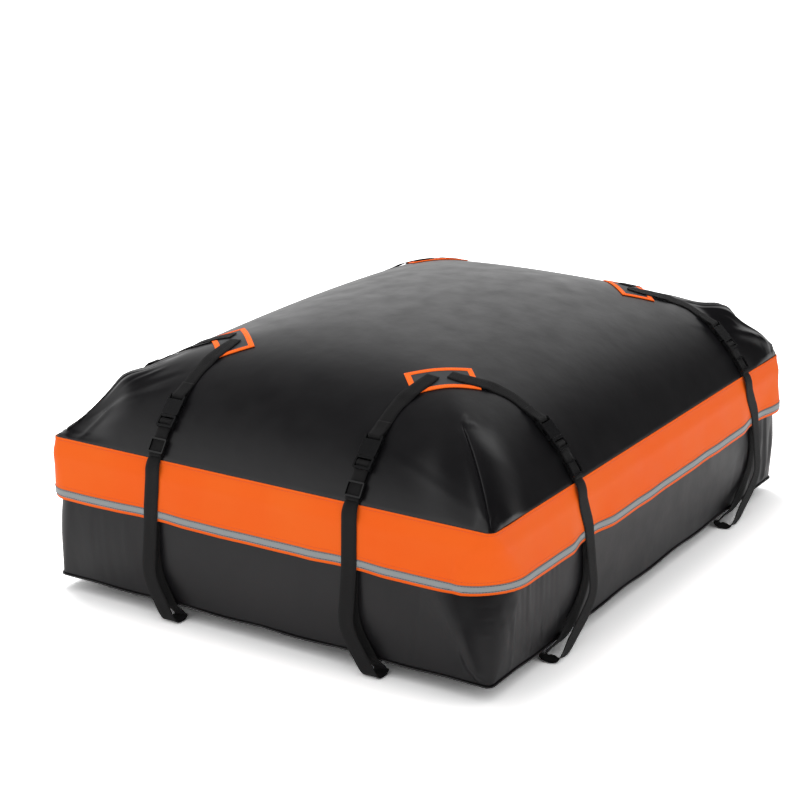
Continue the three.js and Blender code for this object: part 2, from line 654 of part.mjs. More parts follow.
function addFlapAndTape() {
  const bend = 1.75 * FLAP_STANDOFF;
  const hem = 0.2 * LID_WALL;
  addMesh('zip_flap', band([
    [TOUCH, LID_SEAM - TOUCH],
    [TOUCH, LID_SEAM - hem],
    [FLAP_STANDOFF, LID_SEAM - hem - bend],
    [FLAP_STANDOFF, FLAP_BOTTOM],
    [FLAP_FACE, FLAP_BOTTOM],
    [FLAP_FACE, LID_SEAM - hem - bend + FLAP_SHEET],
    [TOUCH + 1.3 * FLAP_SHEET, LID_SEAM - hem + 0.7 * FLAP_SHEET],
    [TOUCH + FLAP_SHEET, LID_SEAM - TOUCH],
  ]), ORANGE_SHEET);
  const tapeBottom = FLAP_BOTTOM + TAPE_MARGIN;
  const tapeFace = FLAP_FACE + TOUCH;
  addMesh('reflective_tape', band([
    [tapeFace, tapeBottom + TAPE_WIDTH],
    [tapeFace, tapeBottom],
    [tapeFace + TAPE_SHEET, tapeBottom],
    [tapeFace + TAPE_SHEET, tapeBottom + TAPE_WIDTH],
  ]), GREY_TAPE);
}

// A patch is an oblong that follows the lid, turned half a right angle to the bag's sides
function addPatch(name, signX, signY) {
  const centreX = signX * (WIDTH / 2 - PATCH_INSET);
  const centreY = signY * (LENGTH / 2 - PATCH_INSET);
  const rows = [];
  const sizes = [PATCH_WIDTH, PATCH_LENGTH];
  if (signX !== signY) sizes.reverse();
  const place = (i, j, height) => {
    const p = (i / PATCH_STEPS - 0.5) * sizes[0];
    const q = (j / PATCH_STEPS - 0.5) * sizes[1];
    return lidPoint(centreX + (p - q) / Math.SQRT2, centreY + (p + q) / Math.SQRT2, height);
  };
  for (let i = 0; i <= PATCH_STEPS; i += 1) {
    const row = [];
    for (let j = 0; j <= PATCH_STEPS; j += 1) row.push(place(i, j, PATCH_TOP));
    for (let j = PATCH_STEPS; j >= 0; j -= 1) row.push(place(i, j, LAY));
    rows.push(row);
  }
  addMesh(name, stripSkin(rows), BLACK_SHEET);
}

// Rows run over the top and back along the underside, so the two end rows are capped cell by cell
function stripSkin(rows) {
  const count = rows[0].length;
  const positions = rows.flat().flatMap((point) => point.toArray());
  const index = [];
  const quad = (a, b, c, d) => index.push(a, b, c, a, c, d);
  for (let r = 0; r < rows.length - 1; r += 1) {
    for (let i = 0; i < count; i += 1) {
      const j = (i + 1) % count;
      quad(r * count + i, r * count + j, (r + 1) * count + j, (r + 1) * count + i);
    }
  }
  const last = (rows.length - 1) * count;
  for (let i = 0; i < count / 2 - 1; i += 1) {
    const under = count - 1 - i;
    quad(i, under, under - 1, i + 1);
    quad(last + i, last + i + 1, last + under - 1, last + under);
  }
  if (signedVolume(positions, index) < 0) index.reverse();
  const geometry = new THREE.BufferGeometry();
  geometry.setAttribute('position', new THREE.Float32BufferAttribute(positions, 3));
  geometry.setIndex(index);
  geometry.computeVertexNormals();
  return geometry;
}

// Zip: chain all round, slider on the front end, and its pull

function addZip() {
  const chainMiddle = TUB_TOP + ZIP_WIDTH / 2;
  const chainHalf = ZIP_WIDTH / 2 - TOUCH;
  const chainBack = -SHEET / 2 - CHAIN_SHEET / 2;
  const chainFace = chainBack + CHAIN_SHEET;
  const front = LENGTH / 2;
  const sliderX = SLIDER_INSET - WIDTH / 2;
  const sliderHalf = [SLIDER_LENGTH / 2, chainHalf - 1];
  const postHalf = [4, 1.2];
  const chain = toSolid(band([
    [chainFace, chainMiddle + chainHalf],
    [chainBack, chainMiddle + chainHalf],
    [chainBack, chainMiddle - chainHalf],
    [chainFace, chainMiddle - chainHalf],
  ]));
  const spread = 1;
  const hole = block(
    [sliderX - postHalf[0] - spread, sliderX + postHalf[0] + spread],
    [-front - chainFace - 1, -front - chainBack + 1],
    [chainMiddle - postHalf[1] - spread / 2, chainMiddle + postHalf[1] + spread / 2],
  );
  addMesh('zip_chain', toGeometry(chain.subtract(hole)), BLACK_WEB);

  const alongX = [sliderX - sliderHalf[0], sliderX + sliderHalf[0]];
  const upright = [chainMiddle - sliderHalf[1], chainMiddle + sliderHalf[1]];
  const outerFace = -front - chainFace - TOUCH - SLIDER_PLATE;
  const innerFace = -front - chainBack + TOUCH + SLIDER_PLATE;
  const post = [
    [sliderX - postHalf[0], sliderX + postHalf[0]],
    [outerFace + SLIDER_PLATE / 2, innerFace - SLIDER_PLATE / 2],
    [chainMiddle - postHalf[1], chainMiddle + postHalf[1]],
  ];
  const lugX = [sliderX + sliderHalf[0] - 6, sliderX + sliderHalf[0] - 2];
  const pinGap = 3;
  const lugReach = PULL_SHEET + 1.2;
  const lugs = [-1, 1].map((hand) => block(
    lugX,
    [outerFace - lugReach, outerFace + 0.5],
    [chainMiddle + hand * (pinGap + 1) - 1, chainMiddle + hand * (pinGap + 1) + 1],
  ));
  let slider = block(alongX, [outerFace, outerFace + SLIDER_PLATE], upright)
    .add(block(alongX, [innerFace - SLIDER_PLATE, innerFace], upright))
    .add(block(...post));
  lugs.forEach((lug) => {
    slider = slider.add(lug);
  });
  addMesh('zip_slider', toGeometry(slider), ZIP_METAL);

  const pullFar = lugX[1] - PULL_LENGTH;
  const pullBack = outerFace - 0.3;
  const pull = block(
    [pullFar, lugX[1]],
    [pullBack - PULL_SHEET, pullBack],
    [chainMiddle - pinGap + TOUCH, chainMiddle + pinGap - TOUCH],
  );
  addMesh('zip_pull', toGeometry(pull), ZIP_METAL);
}

addBaseTub();
addTopCover();
addFlapAndTape();
addZip();
addPatch('corner_patch_front_left', -1, -1);
addPatch('corner_patch_front_right', 1, -1);
addPatch('corner_patch_back_left', -1, 1);
addPatch('corner_patch_back_right', 1, 1);
STRAPS.forEach(addStrap);

export default bag;
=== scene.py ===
import math

import bmesh
import bpy
import numpy as np
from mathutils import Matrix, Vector


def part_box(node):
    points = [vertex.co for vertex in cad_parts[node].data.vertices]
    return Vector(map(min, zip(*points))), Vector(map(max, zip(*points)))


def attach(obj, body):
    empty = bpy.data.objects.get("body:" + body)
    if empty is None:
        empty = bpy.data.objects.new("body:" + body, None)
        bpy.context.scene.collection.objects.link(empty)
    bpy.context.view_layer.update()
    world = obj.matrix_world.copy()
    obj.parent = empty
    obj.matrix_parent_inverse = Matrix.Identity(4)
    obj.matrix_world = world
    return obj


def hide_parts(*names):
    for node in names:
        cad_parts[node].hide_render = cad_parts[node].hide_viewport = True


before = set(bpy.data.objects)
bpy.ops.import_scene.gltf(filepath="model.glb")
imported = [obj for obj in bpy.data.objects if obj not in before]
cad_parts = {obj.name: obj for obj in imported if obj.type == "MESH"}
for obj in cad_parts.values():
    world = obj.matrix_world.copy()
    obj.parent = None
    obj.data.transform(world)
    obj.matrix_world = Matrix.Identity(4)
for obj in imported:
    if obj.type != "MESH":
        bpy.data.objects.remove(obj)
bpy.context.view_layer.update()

scene = bpy.context.scene

MM = 0.001

# Sizes read from the frame
_, tub_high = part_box("base_tub")
lid_low, lid_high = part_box("top_cover")
flap_low, flap_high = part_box("zip_flap")
tape_low, tape_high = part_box("reflective_tape")
WIDTH = lid_high.x - lid_low.x
LENGTH = lid_high.y - lid_low.y
TUB_TOP = tub_high.z
LID_EDGE = lid_low.z
FLAP_BOTTOM = flap_low.z
FLAP_FACE = flap_high.x - WIDTH / 2
TAPE_FACE = tape_high.x - WIDTH / 2

# Sizes of the CAD model
TOUCH = 0.3 * MM
LAY = 0.5 * MM
FIT = 0.5 * MM
SIDE_FIT = 0.6 * MM
SHEET = 1.8 * MM
BASE_SAG = 28 * MM
BASE_FLAT_INSET = 110 * MM
WALL_BULGE = 5 * MM
LID_WALL = 30 * MM
LID_RISE = 150 * MM
LID_REACH = 95 * MM
CROWN_RISE = 40 * MM
HIP_SOFTNESS = 0.2
SEAM_CORNER = 10 * MM
HEM_CORNER = 35 * MM
NEAR_HEM_CORNER = 90 * MM
BASE_CORNER = 12 * MM
FLAP_STANDOFF = 8 * MM
FLAP_SHEET = 1.5 * MM
TAPE_SHEET = 0.4 * MM
PATCH_LENGTH = 112 * MM
PATCH_WIDTH = 62 * MM
PATCH_INSET = 219 * MM
PATCH_SHEET = 1.2 * MM
STRAP_END_GAP = 14 * MM
WEB_WIDTH = 25 * MM
WEB_SHEET = 1.4 * MM
BUCKLE_INSET = 50 * MM
GLIDE_INSET = 11 * MM
HOUSING_LENGTH = 38 * MM
PLUG_LENGTH = 23 * MM
BAR = 2 * MM
END_BAR = 2.8 * MM
SLOT = 5.5 * MM
GLIDE_LENGTH = 26 * MM
TUB_WALL = TUB_TOP - BASE_SAG
LID_SEAM = LID_EDGE + LID_WALL
FLAP_DROP = LID_SEAM - FLAP_BOTTOM
WEB_MIDDLE = LAY + WEB_SHEET / 2
PATCH_TOP = LAY + PATCH_SHEET

STRAP_SHIFTS = [
    # name, side, corner, sideways shift at buckle, at flap, slide at the ground (mm)
    ("front_left", "front", -1, 3, -4, 42),
    ("front_right", "front", 1, -30, -31, 48),
    ("right_front", "right", -1, 55, 86, -114),
    ("right_rear", "right", 1, 54, 96, -114),
    ("back_right", "back", 1, -22, -18, -60),
    ("back_left", "back", -1, 18, 22, -52),
    ("left_rear", "left", 1, -30, -26, 70),
    ("left_front", "left", -1, -24, -28, 62),
]
# Each side's outward and along directions, and the distances to it and to its ends
SIDES = {
    "front": (np.array([0.0, -1, 0]), np.array([1.0, 0, 0]), LENGTH / 2, WIDTH / 2),
    "back": (np.array([0.0, 1, 0]), np.array([1.0, 0, 0]), LENGTH / 2, WIDTH / 2),
    "right": (np.array([1.0, 0, 0]), np.array([0.0, 1, 0]), WIDTH / 2, LENGTH / 2),
    "left": (np.array([-1.0, 0, 0]), np.array([0.0, 1, 0]), WIDTH / 2, LENGTH / 2),
}
UP = np.array([0.0, 0, 1])
# Each strap's name and side, where its patch, its clip and its band on the flap are along that side,
# and how far its loop drifts at the ground
STRAPS = [(name, side, at, at + clip * MM, at + band * MM, drift * MM)
          for name, side, corner, clip, band, drift in STRAP_SHIFTS
          for at in [corner * (SIDES[side][3] - PATCH_INSET)]]


def side_place(side, x, y):
    """How far along a side a place is, from its middle, and how far in from it."""
    out, along, reach, _ = SIDES[side]
    return x * along[0] + y * along[1], reach - (x * out[0] + y * out[1])


# ---- Materials ----


def srgb(code):
    """A hex colour as linear RGBA."""
    parts = [int(code[i:i + 2], 16) / 255 for i in (1, 3, 5)]
    return [c / 12.92 if c <= 0.04045 else ((c + 0.055) / 1.055) ** 2.4 for c in parts] + [1.0]


# The colour sockets of a Mix node, which share their names with others
MIX_LOW, MIX_HIGH, MIX_RESULT = 6, 7, 2


def add(tree, kind, inputs=None, **settings):
    """A new node of a kind, or a node that exists, with its settings, links and values."""
    node = tree.nodes.new("ShaderNode" + kind) if isinstance(kind, str) else kind
    for key, value in settings.items():
        setattr(node, key, value)
    for socket, value in (inputs or {}).items():
        if isinstance(value, bpy.types.Node):
            value = value.outputs[0]
        if isinstance(value, bpy.types.NodeSocket):
            tree.links.new(value, node.inputs[socket])
        else:
            node.inputs[socket].default_value = value
    return node


def new_material(name):
    """A material with a Principled shader alone."""
    material = bpy.data.materials.new(name)
    material.use_nodes = True
    tree = material.node_tree
    tree.nodes.clear()
    shader = add(tree, "BsdfPrincipled")
    add(tree, "OutputMaterial", {"Surface": shader})
    return material, tree, shader


def per_metre(size_mm):
    """A texture scale that repeats about every size_mm."""
    return 1000.0 / size_mm


def coated_sheet(name, base, worn, roughness, grain_bump, gloss_level=0.5):
    """PVC-coated polyester: calendered coating with a fine emboss, over a 1 mm scrim weave.
    The eye gets a satin black or orange with a broad sheen, and slow unevenness from handling."""
    material, tree, shader = new_material(name)
    place = add(tree, "TexCoord").outputs["Object"]
    cloud = add(tree, "TexNoise", {"Vector": place, "Scale": per_metre(170), "Detail": 4.0})
    tone = add(tree, "MapRange", {"Value": cloud, "From Min": 0.35, "From Max": 0.7})
    colour = add(tree, "Mix", {"Factor": tone, MIX_LOW: srgb(base), MIX_HIGH: srgb(worn)},
                 data_type="RGBA")
    rub = add(tree, "TexNoise", {"Vector": place, "Scale": per_metre(45), "Detail": 3.0})
    gloss = add(tree, "MapRange", {"Value": rub, "From Min": 0.3, "From Max": 0.7,
                                   "To Min": roughness - 0.04, "To Max": roughness + 0.05})
    # Emboss cells are 0.9 mm on the real sheet, drawn at 1.6 mm so that they show
    emboss = add(tree, "TexVoronoi", {"Vector": place, "Scale": per_metre(1.6)})
    ripple = add(tree, "TexNoise", {"Vector": place, "Scale": per_metre(28), "Detail": 2.0})
    fine = add(tree, "Bump", {"Height": emboss, "Strength": grain_bump, "Distance": 0.05 * MM})
    slow = add(tree, "Bump", {"Height": ripple, "Strength": 0.25, "Distance": 1.2 * MM,
                              "Normal": fine})
    add(tree, shader, {"Base Color": colour.outputs[MIX_RESULT], "Roughness": gloss, "Normal": slow,
                       "IOR": 1.5, "Specular IOR Level": gloss_level})
    return material


def woven_webbing(name, base, light):
    """Polyester webbing, woven in a herringbone with a bound edge. Matt black with fine chevron
    ribs 2.4 mm apart (1.6 mm on the real strap). UVs are in millimetres, across and along."""
    rib_pitch, warp_pitch, chevron = 2.4, 1.55, 6.2
    material, tree, shader = new_material(name)
    uv = add(tree, "UVMap")
    parts = add(tree, "SeparateXYZ", {"Vector": uv}).outputs
    fold = add(tree, "Math", {0: parts["X"], 1: chevron}, operation="PINGPONG")
    slant = add(tree, "Math", {0: parts["Y"], 1: fold}, operation="ADD")
    turns = add(tree, "Math", {0: slant, 1: 2 * math.pi / rib_pitch}, operation="MULTIPLY")
    rib = add(tree, "Math", {0: turns}, operation="SINE")
    warp = add(tree, "Math", {0: parts["X"], 1: 2 * math.pi / warp_pitch}, operation="MULTIPLY")
    ends = add(tree, "Math", {0: warp}, operation="SINE")
    both = add(tree, "Math", {0: rib, 1: ends}, operation="ADD")
    height = add(tree, "MapRange", {"Value": both, "From Min": -2.0, "From Max": 2.0})
    # The colour follows the weave's height: painted shade darkens the hollows and a painted highlight lightens
    # the rib tops of the one black yarn
    colour = add(tree, "Mix", {"Factor": height, MIX_LOW: srgb(base), MIX_HIGH: srgb(light)},
                 data_type="RGBA")
    bump = add(tree, "Bump", {"Height": height, "Strength": 0.8, "Distance": 0.35 * MM})
    add(tree, shader, {"Base Color": colour.outputs[MIX_RESULT], "Normal": bump, "Roughness": 0.78,
                       "Specular IOR Level": 0.3, "Sheen Weight": 0.05, "Sheen Roughness": 0.5})
    return material


def reflective_tape(name):
    """Retro-reflective tape: glass beads under a clear film, welded in 3 mm diamond cells.
    Flat mid grey with a satin face and faint lighter cell walls. UVs are in millimetres."""
    cell_half, wall_half = 1.6, 0.28
    material, tree, shader = new_material(name)
    uv = add(tree, "UVMap")
    parts = add(tree, "SeparateXYZ", {"Vector": uv}).outputs
    lines = []
    for sign in (1, -1):
        mixed = add(tree, "Math", {0: parts["X"], 1: sign, 2: parts["Y"]}, operation="MULTIPLY_ADD")
        wall = add(tree, "Math", {0: mixed, 1: cell_half}, operation="PINGPONG")
        lines.append(add(tree, "Math", {0: wall, 1: wall_half}, operation="LESS_THAN"))
    net = add(tree, "Math", {0: lines[0], 1: lines[1]}, operation="MAXIMUM")
    beads = add(tree, "TexNoise", {"Vector": uv, "Scale": 1.4, "Detail": 2.0})
    shade = add(tree, "Math", {0: net, 1: 0.35, 2: beads}, operation="MULTIPLY_ADD")
    colour = add(tree, "Mix", {"Factor": shade, MIX_LOW: srgb("#85898B"), MIX_HIGH: srgb("#9DA1A2")},
                 data_type="RGBA")
    add(tree, shader, {"Base Color": colour.outputs[MIX_RESULT], "Roughness": 0.42, "Metallic": 0.15})
    return material


def grained(name, code, values, grain=None, wear=None):
    """One colour. grain is the texture, size, strength and depth of its bump, and wear is the size,
    detail, least and most roughness of its gloss, with sizes in mm."""
    material, tree, shader = new_material(name)
    place = add(tree, "TexCoord").outputs["Object"]
    inputs = {"Base Color": srgb(code), **values}
    if grain:
        texture, size, strength, depth = grain
        height = add(tree, texture, {"Vector": place, "Scale": per_metre(size)})
        inputs["Normal"] = add(tree, "Bump", {"Height": height, "Strength": strength,
                                              "Distance": depth * MM})
    if wear:
        size, detail, least, most = wear
        rub = add(tree, "TexNoise", {"Vector": place, "Scale": per_metre(size), "Detail": detail})
        inputs["Roughness"] = add(tree, "MapRange", {"Value": rub, "To Min": least, "To Max": most})
    add(tree, shader, inputs)
    return material


BLACK_SHEET = coated_sheet("black_pvc_coated_sheet", "#100F11", "#151416", 0.32, 0.35)
WALL_SHEET = coated_sheet("black_pvc_wall_sheet", "#161517", "#1B1A1C", 0.36, 0.35, 0.32)
ORANGE_SHEET = coated_sheet("orange_pvc_coated_sheet", "#FF6617", "#FF6E1F", 0.5, 0.3, 0.13)
PATCH_PANEL = coated_sheet("grey_black_patch_sheet", "#2E2F31", "#3A3B3D", 0.5, 0.6)
# Webbing colours: black yarn with painted shade in the weave's hollows, and the same yarn with a painted
# highlight on the rib tops
WEBBING = woven_webbing("black_woven_webbing", "#080708", "#141314")
TAPE = reflective_tape("grey_reflective_tape")
# Injection-moulded acetal: smooth semi-gloss black with a faint spark-eroded grain
ACETAL = grained("black_moulded_acetal", "#131314", {"IOR": 1.48},
                 grain=("TexNoise", 0.7, 0.3, 0.06), wear=(9, 3.0, 0.14, 0.26))
# Bonded polyester sewing thread: dull, with a slight sheen along the twist
BLACK_THREAD, ORANGE_THREAD = [
    grained(name, code, {"Roughness": 0.6, "Sheen Weight": 0.2}, grain=("TexNoise", 0.8, 0.5, 0.1))
    for name, code in (("black_sewing_thread", "#161516"), ("orange_sewing_thread", "#E8591F"))]
# Nylon coil zip: woven tape with coil teeth every 1.5 mm, black and slightly shiny
ZIP_COIL = grained("black_coil_zip", "#1B1A1C", {"Roughness": 0.45}, grain=("TexVoronoi", 1.5, 0.8, 0.5))
# Die-cast zinc with a black nickel plate, rubbed a little paler
ZINC = grained("plated_cast_zinc", "#6E7074", {"Metallic": 1.0}, wear=(6, 4.0, 0.22, 0.45))


# ---- Shape of the bag ----


def smooth(x, low, high):
    """0 at low, 1 at high, with soft ends."""
    t = np.clip((x - low) / (high - low), 0, 1)
    return t * t * (3 - 2 * t)


def edge_distance(u, v):
    """Distance in from the lid's edge, rounded at the corner and softened along the hip."""
    rounded = SEAM_CORNER - np.hypot(SEAM_CORNER - u, SEAM_CORNER - v)
    inner = np.maximum(u - SEAM_CORNER, 0) * np.maximum(v - SEAM_CORNER, 0)
    straight = (u + v - np.sqrt((u - v) ** 2 + HIP_SOFTNESS ** 2 * inner)) / 2
    return np.where((u < SEAM_CORNER) & (v < SEAM_CORNER), rounded, straight)


def lid_height(x, y):
    inset = edge_distance(WIDTH / 2 - np.abs(x), LENGTH / 2 - np.abs(y))
    slope = LID_RISE * (1 - np.exp(-inset / LID_REACH))
    return LID_SEAM + slope + CROWN_RISE * (1 - (2 * x / WIDTH) ** 2) * (1 - (2 * y / LENGTH) ** 2)


def lid_normal(x, y):
    step = 2 * MM
    dx = (lid_height(x + step, y) - lid_height(x - step, y)) / (2 * step)
    dy = (lid_height(x, y + step) - lid_height(x, y - step)) / (2 * step)
    normal = np.stack([-dx, -dy, np.ones_like(dx)], -1)
    return normal / np.linalg.norm(normal, axis=-1, keepdims=True)


def lid_point(x, y, height):
    x, y = np.asarray(x, float), np.asarray(y, float)
    base = np.stack([x, y, lid_height(x, y)], -1)
    return base + lid_normal(x, y) * np.asarray(height)[..., None]


def wall_bulge(z):
    return WALL_BULGE * math.sin(math.pi * (z - BASE_SAG) / TUB_WALL)


def corner_radii(z):
    """Corner radii at one height: the near right corner is slack, the other three are tighter."""
    if z > FLAP_BOTTOM:
        least, share = SEAM_CORNER, max((LID_SEAM - z) / FLAP_DROP, 0)
    else:
        least, share = BASE_CORNER, max((z - BASE_SAG) / (FLAP_BOTTOM - BASE_SAG), 0)
    return [least + (widest - least) * share for widest in [NEAR_HEM_CORNER] + [HEM_CORNER] * 3]


# Points of an outline round each corner, along each end and along each side
CORNER_COLUMNS = 12
END_COLUMNS = 130
SIDE_COLUMNS = 168


def outline(offset, corners):
    """A rounded rectangle round the bag: points and outward normals, the same columns each time."""
    half_x, half_y = WIDTH / 2 + offset, LENGTH / 2 + offset
    radii = [min(max(corner + offset, SEAM_CORNER / 2), half_x) for corner in corners]
    points, normals = [], []
    crowding = 0.06
    for quarter, (sx, sy) in enumerate([(1, -1), (1, 1), (-1, 1), (-1, -1)]):
        radius = radii[quarter]
        cx, cy = sx * (half_x - radius), sy * (half_y - radius)
        angle = (quarter - 1 + np.arange(CORNER_COLUMNS + 1) / CORNER_COLUMNS) * math.pi / 2
        normal = np.stack([np.cos(angle), np.sin(angle)], -1)
        points.append(np.array([cx, cy]) + radius * normal)
        normals.append(normal)
        count = SIDE_COLUMNS if quarter % 2 == 0 else END_COLUMNS
        length = 2 * (half_y if quarter % 2 == 0 else half_x) - radius - radii[(quarter + 1) % 4]
        way = np.array([math.cos((quarter + 1) * math.pi / 2), math.sin((quarter + 1) * math.pi / 2)])
        # Columns stand closer together near the corners, where the sheet gathers
        share = np.arange(1, count) / count
        share = share - crowding * np.sin(2 * math.pi * share)
        points.append(points[-1][-1] + (share * length)[:, None] * way)
        normals.append(np.repeat(normal[-1:], count - 1, 0))
    return np.concatenate(points), np.concatenate(normals)


def at_height(plan, z):
    return np.column_stack([plan, np.full(len(plan), z)])


def make_mesh(name, points, faces, material, uv=None, smooth_faces=True):
    mesh = bpy.data.meshes.new(name)
    mesh.from_pydata([tuple(p) for p in points], [], faces)
    if uv is not None:
        layer = mesh.uv_layers.new(name="UVMap")
        corners = np.empty(len(mesh.loops), np.int32)
        mesh.loops.foreach_get("vertex_index", corners)
        layer.data.foreach_set("uv", np.asarray(uv, np.float32)[corners].ravel())
    mesh.polygons.foreach_set("use_smooth", [smooth_faces] * len(mesh.polygons))
    mesh.materials.append(material)
    mesh.update()
    obj = bpy.data.objects.new(name, mesh)
    scene.collection.objects.link(obj)
    return obj


def ring_faces(rows, count, first=0, closed=False):
    """Faces between rings of count points each, and from the last ring to the first if closed."""
    faces = []
    for r in range(rows if closed else rows - 1):
        a, b = first + r * count, first + (r + 1) % rows * count
        faces += [(a + i, b + i, b + (i + 1) % count, a + (i + 1) % count) for i in range(count)]
    return faces


def ridge_faces(first, count):
    """Faces that join each column of the innermost ring to its mirror image across the ridge."""
    mirror = 3 * (CORNER_COLUMNS + 1) + 2 * (SIDE_COLUMNS - 1) + END_COLUMNS - 1 + CORNER_COLUMNS
    middle = mirror // 2
    faces = []
    for i in range(middle - count // 2, middle):
        ring = [i % count, (i + 1) % count, (mirror - i - 1) % count, (mirror - i) % count]
        faces.append(tuple(first + k for k in dict.fromkeys(ring)))
    return faces


def flipped(faces):
    return [face[::-1] for face in faces]


def thicken(obj, thickness):
    solid = obj.modifiers.new("Sheet", "SOLIDIFY")
    solid.thickness = thickness
    solid.offset = -1


# ---- Wrinkles ----

# How far each corner is gathered: near right (1, -1) is nearly taut, the others pucker
CORNER_GATHER = {(1, -1): 0.25, (1, 1): 1.0, (-1, 1): 0.9, (-1, -1): 1.0}
# A gathered corner's sheet stands up where its dart ends: height, and distance up the hip
CORNER_PEAK = {(1, 1): (13 * MM, 0.127), (-1, 1): (6 * MM, 0.13), (-1, -1): (7 * MM, 0.13)}
PEAK_LENGTH, PEAK_WIDTH = 26 * MM, 40 * MM
# The dart is a sewn valley up the hip, with a low lip on the end's side of it
DART_DEPTH, DART_WIDTH = 3 * MM, 1.5 * MM
LIP_HEIGHT, LIP_OFF, LIP_WIDTH = 1 * MM, 9 * MM, 7 * MM
# Beside the dart, the long side's sheet swells out and falls away again, less so on the left
SWELL, SWELL_RISE, LEFT_SWELL_SHARE = 8 * MM, 12 * MM, 0.4
# Puckers at both ends of the dart: distance up the hip, length, height, turns from the hip (rad)
PUCKERS = [(0.181, 26 * MM, 1.3 * MM, (0.5, 1.5)), (0.018, 22 * MM, 2.6 * MM, (-1.3, -0.6, 0.7, 1.4))]
PUCKER_WIDTH = 3.5 * MM
# The load stands out under the end's sheet beside the near dart
BULGE, BULGE_OFF, BULGE_WIDTH = 4.5 * MM, 44 * MM, 26 * MM
BULGE_UP, BULGE_LENGTH = 120 * MM, 50 * MM
# The sheet is drawn in at the foot of the near left corner
DRAWN_IN = 12 * MM
# What is left of a ridge under a strap
UNDER_STRAP = 0.35 * MM
# The near corner's broad crease on the end's wall: height, distance from the corner at the base,
# how much further off it is at the zip, and its width at the base with what it gains by the zip
NEAR_CREASE, CREASE_FOOT, CREASE_LEAN = 8.5 * MM, 10 * MM, 105 * MM
CREASE_WIDTH, CREASE_FAN = 10 * MM, 44 * MM
# Slow unevenness of the wall from the load
LOAD_WAVE = 1.4 * MM


def bell(x, middle, width):
    """1 at the middle, falling softly to 0 on both sides."""
    return np.exp(-((x - middle) / width) ** 2)


def crease(px, py, start, end, width, height):
    """A ridge, or a valley if height is below 0, along a line that fades at both ends."""
    ax, ay = start
    length = math.hypot(end[0] - ax, end[1] - ay)
    dx, dy = (end[0] - ax) / length, (end[1] - ay) / length
    along = (px - ax) * dx + (py - ay) * dy
    off = (px - ax) * -dy + (py - ay) * dx
    fade = smooth(along, -0.15 * length, 0.3 * length) * (1 - smooth(along, 0.6 * length, 1.1 * length))
    return height * fade * bell(off, 0, width)


def strap_clear(x, y):
    """1 away from the straps and patches, 0 close to them, where the lid has to stay down."""
    clear = np.ones_like(x)
    for _, side, patch_at, clip_at, _, _ in STRAPS:
        at, inset = side_place(side, x, y)
        apart = np.abs(at - clip_at - (patch_at - clip_at) * smooth(inset, 0.1, 0.2))
        clear = np.minimum(clear, np.maximum(smooth(apart, 24 * MM, 48 * MM), smooth(inset, 0.24, 0.27)))
    for sx, sy in CORNER_GATHER:
        apart = np.abs(x - sx * (WIDTH / 2 - PATCH_INSET)) + np.abs(y - sy * (LENGTH / 2 - PATCH_INSET))
        clear = np.minimum(clear, smooth(apart, 92 * MM, 130 * MM))
    return clear


def lid_relief(x, y):
    """Outward push of the lid's sheet: darts sewn up the hips, gathers that fan from the corners."""
    rng = np.random.default_rng(11)     # the same creases for every row of the lid
    relief = np.zeros_like(x)
    for (sx, sy), gather in CORNER_GATHER.items():
        u, v = WIDTH / 2 - sx * x, LENGTH / 2 - sy * y
        off, up = (u - v) / math.sqrt(2), (u + v) / math.sqrt(2)
        dart = smooth(up, 0.004, 0.014) * (1 - smooth(up, 0.160, 0.184))
        relief += dart * (LIP_HEIGHT * bell(off, LIP_OFF, LIP_WIDTH) - DART_DEPTH * bell(off, 0, DART_WIDTH))
        beside = np.maximum(-off, 0)
        swell = (1 - np.exp(-beside / SWELL_RISE)) * (1 - smooth(beside, 0.018, 0.080))
        swell = swell * smooth(up, 0.004, 0.05) * (1 - smooth(up, 0.11, 0.19))
        relief += SWELL * swell * (1 if sx > 0 else LEFT_SWELL_SHARE)
        for end, reach, tall, turns in PUCKERS:
            tip = end / math.sqrt(2)
            for turn in turns:
                way = math.pi / 4 + turn
                to = (tip + reach * math.cos(way), tip + reach * math.sin(way))
                relief += crease(u, v, (tip, tip), to, PUCKER_WIDTH, tall)
        if (sx, sy) == (1, -1):
            relief += BULGE * bell(off, BULGE_OFF, BULGE_WIDTH) * bell(up, BULGE_UP, BULGE_LENGTH)
        if (sx, sy) == (-1, -1):
            drawn = smooth(np.minimum(u, v), 0, 0.011) * (1 - smooth(up, 0.055, 0.142))
            relief -= DRAWN_IN * drawn * (1 - smooth(np.abs(off), 0.02, 0.09))
        # Fine glossy creases run along the hip of a gathered corner
        for _ in range(int(9 * gather) if gather > 0.5 else 0):
            aside, low, reach = rng.uniform(-0.035, 0.035), rng.uniform(0.02, 0.13), rng.uniform(0.03, 0.07)
            a, b = [((at + aside) / math.sqrt(2), (at - aside) / math.sqrt(2)) for at in (low, low + reach)]
            relief += crease(u, v, a, b, rng.uniform(2.4, 4.0) * MM, rng.uniform(1.2, 2.4) * MM)
        peak, place = CORNER_PEAK.get((sx, sy), (0, 0))
        relief += peak * bell(up, place, PEAK_LENGTH) * bell(off, 0, PEAK_WIDTH)
        # Gathers run up the hip and fan out beside it
        for _ in range(int(20 * gather)):
            way = math.pi / 4 + rng.uniform(-0.62, 0.62)
            start, reach = rng.uniform(0.005, 0.06), rng.uniform(0.08, 0.24)
            a = (start * math.cos(way) + 0.004, start * math.sin(way) + 0.004)
            b = (a[0] + reach * math.cos(way + rng.uniform(-0.15, 0.15)),
                 a[1] + reach * math.sin(way + rng.uniform(-0.15, 0.15)))
            tall = rng.uniform(0.9, 3.0) * MM * gather * (1 if rng.random() < 0.6 else -0.8)
            relief += crease(u, v, a, b, rng.uniform(4, 11) * MM, tall)
    clear = strap_clear(x, y)
    outward = np.maximum(relief, 0)
    return np.minimum(relief, 0) + outward * clear + UNDER_STRAP * (1 - clear) * smooth(outward, 0, MM)


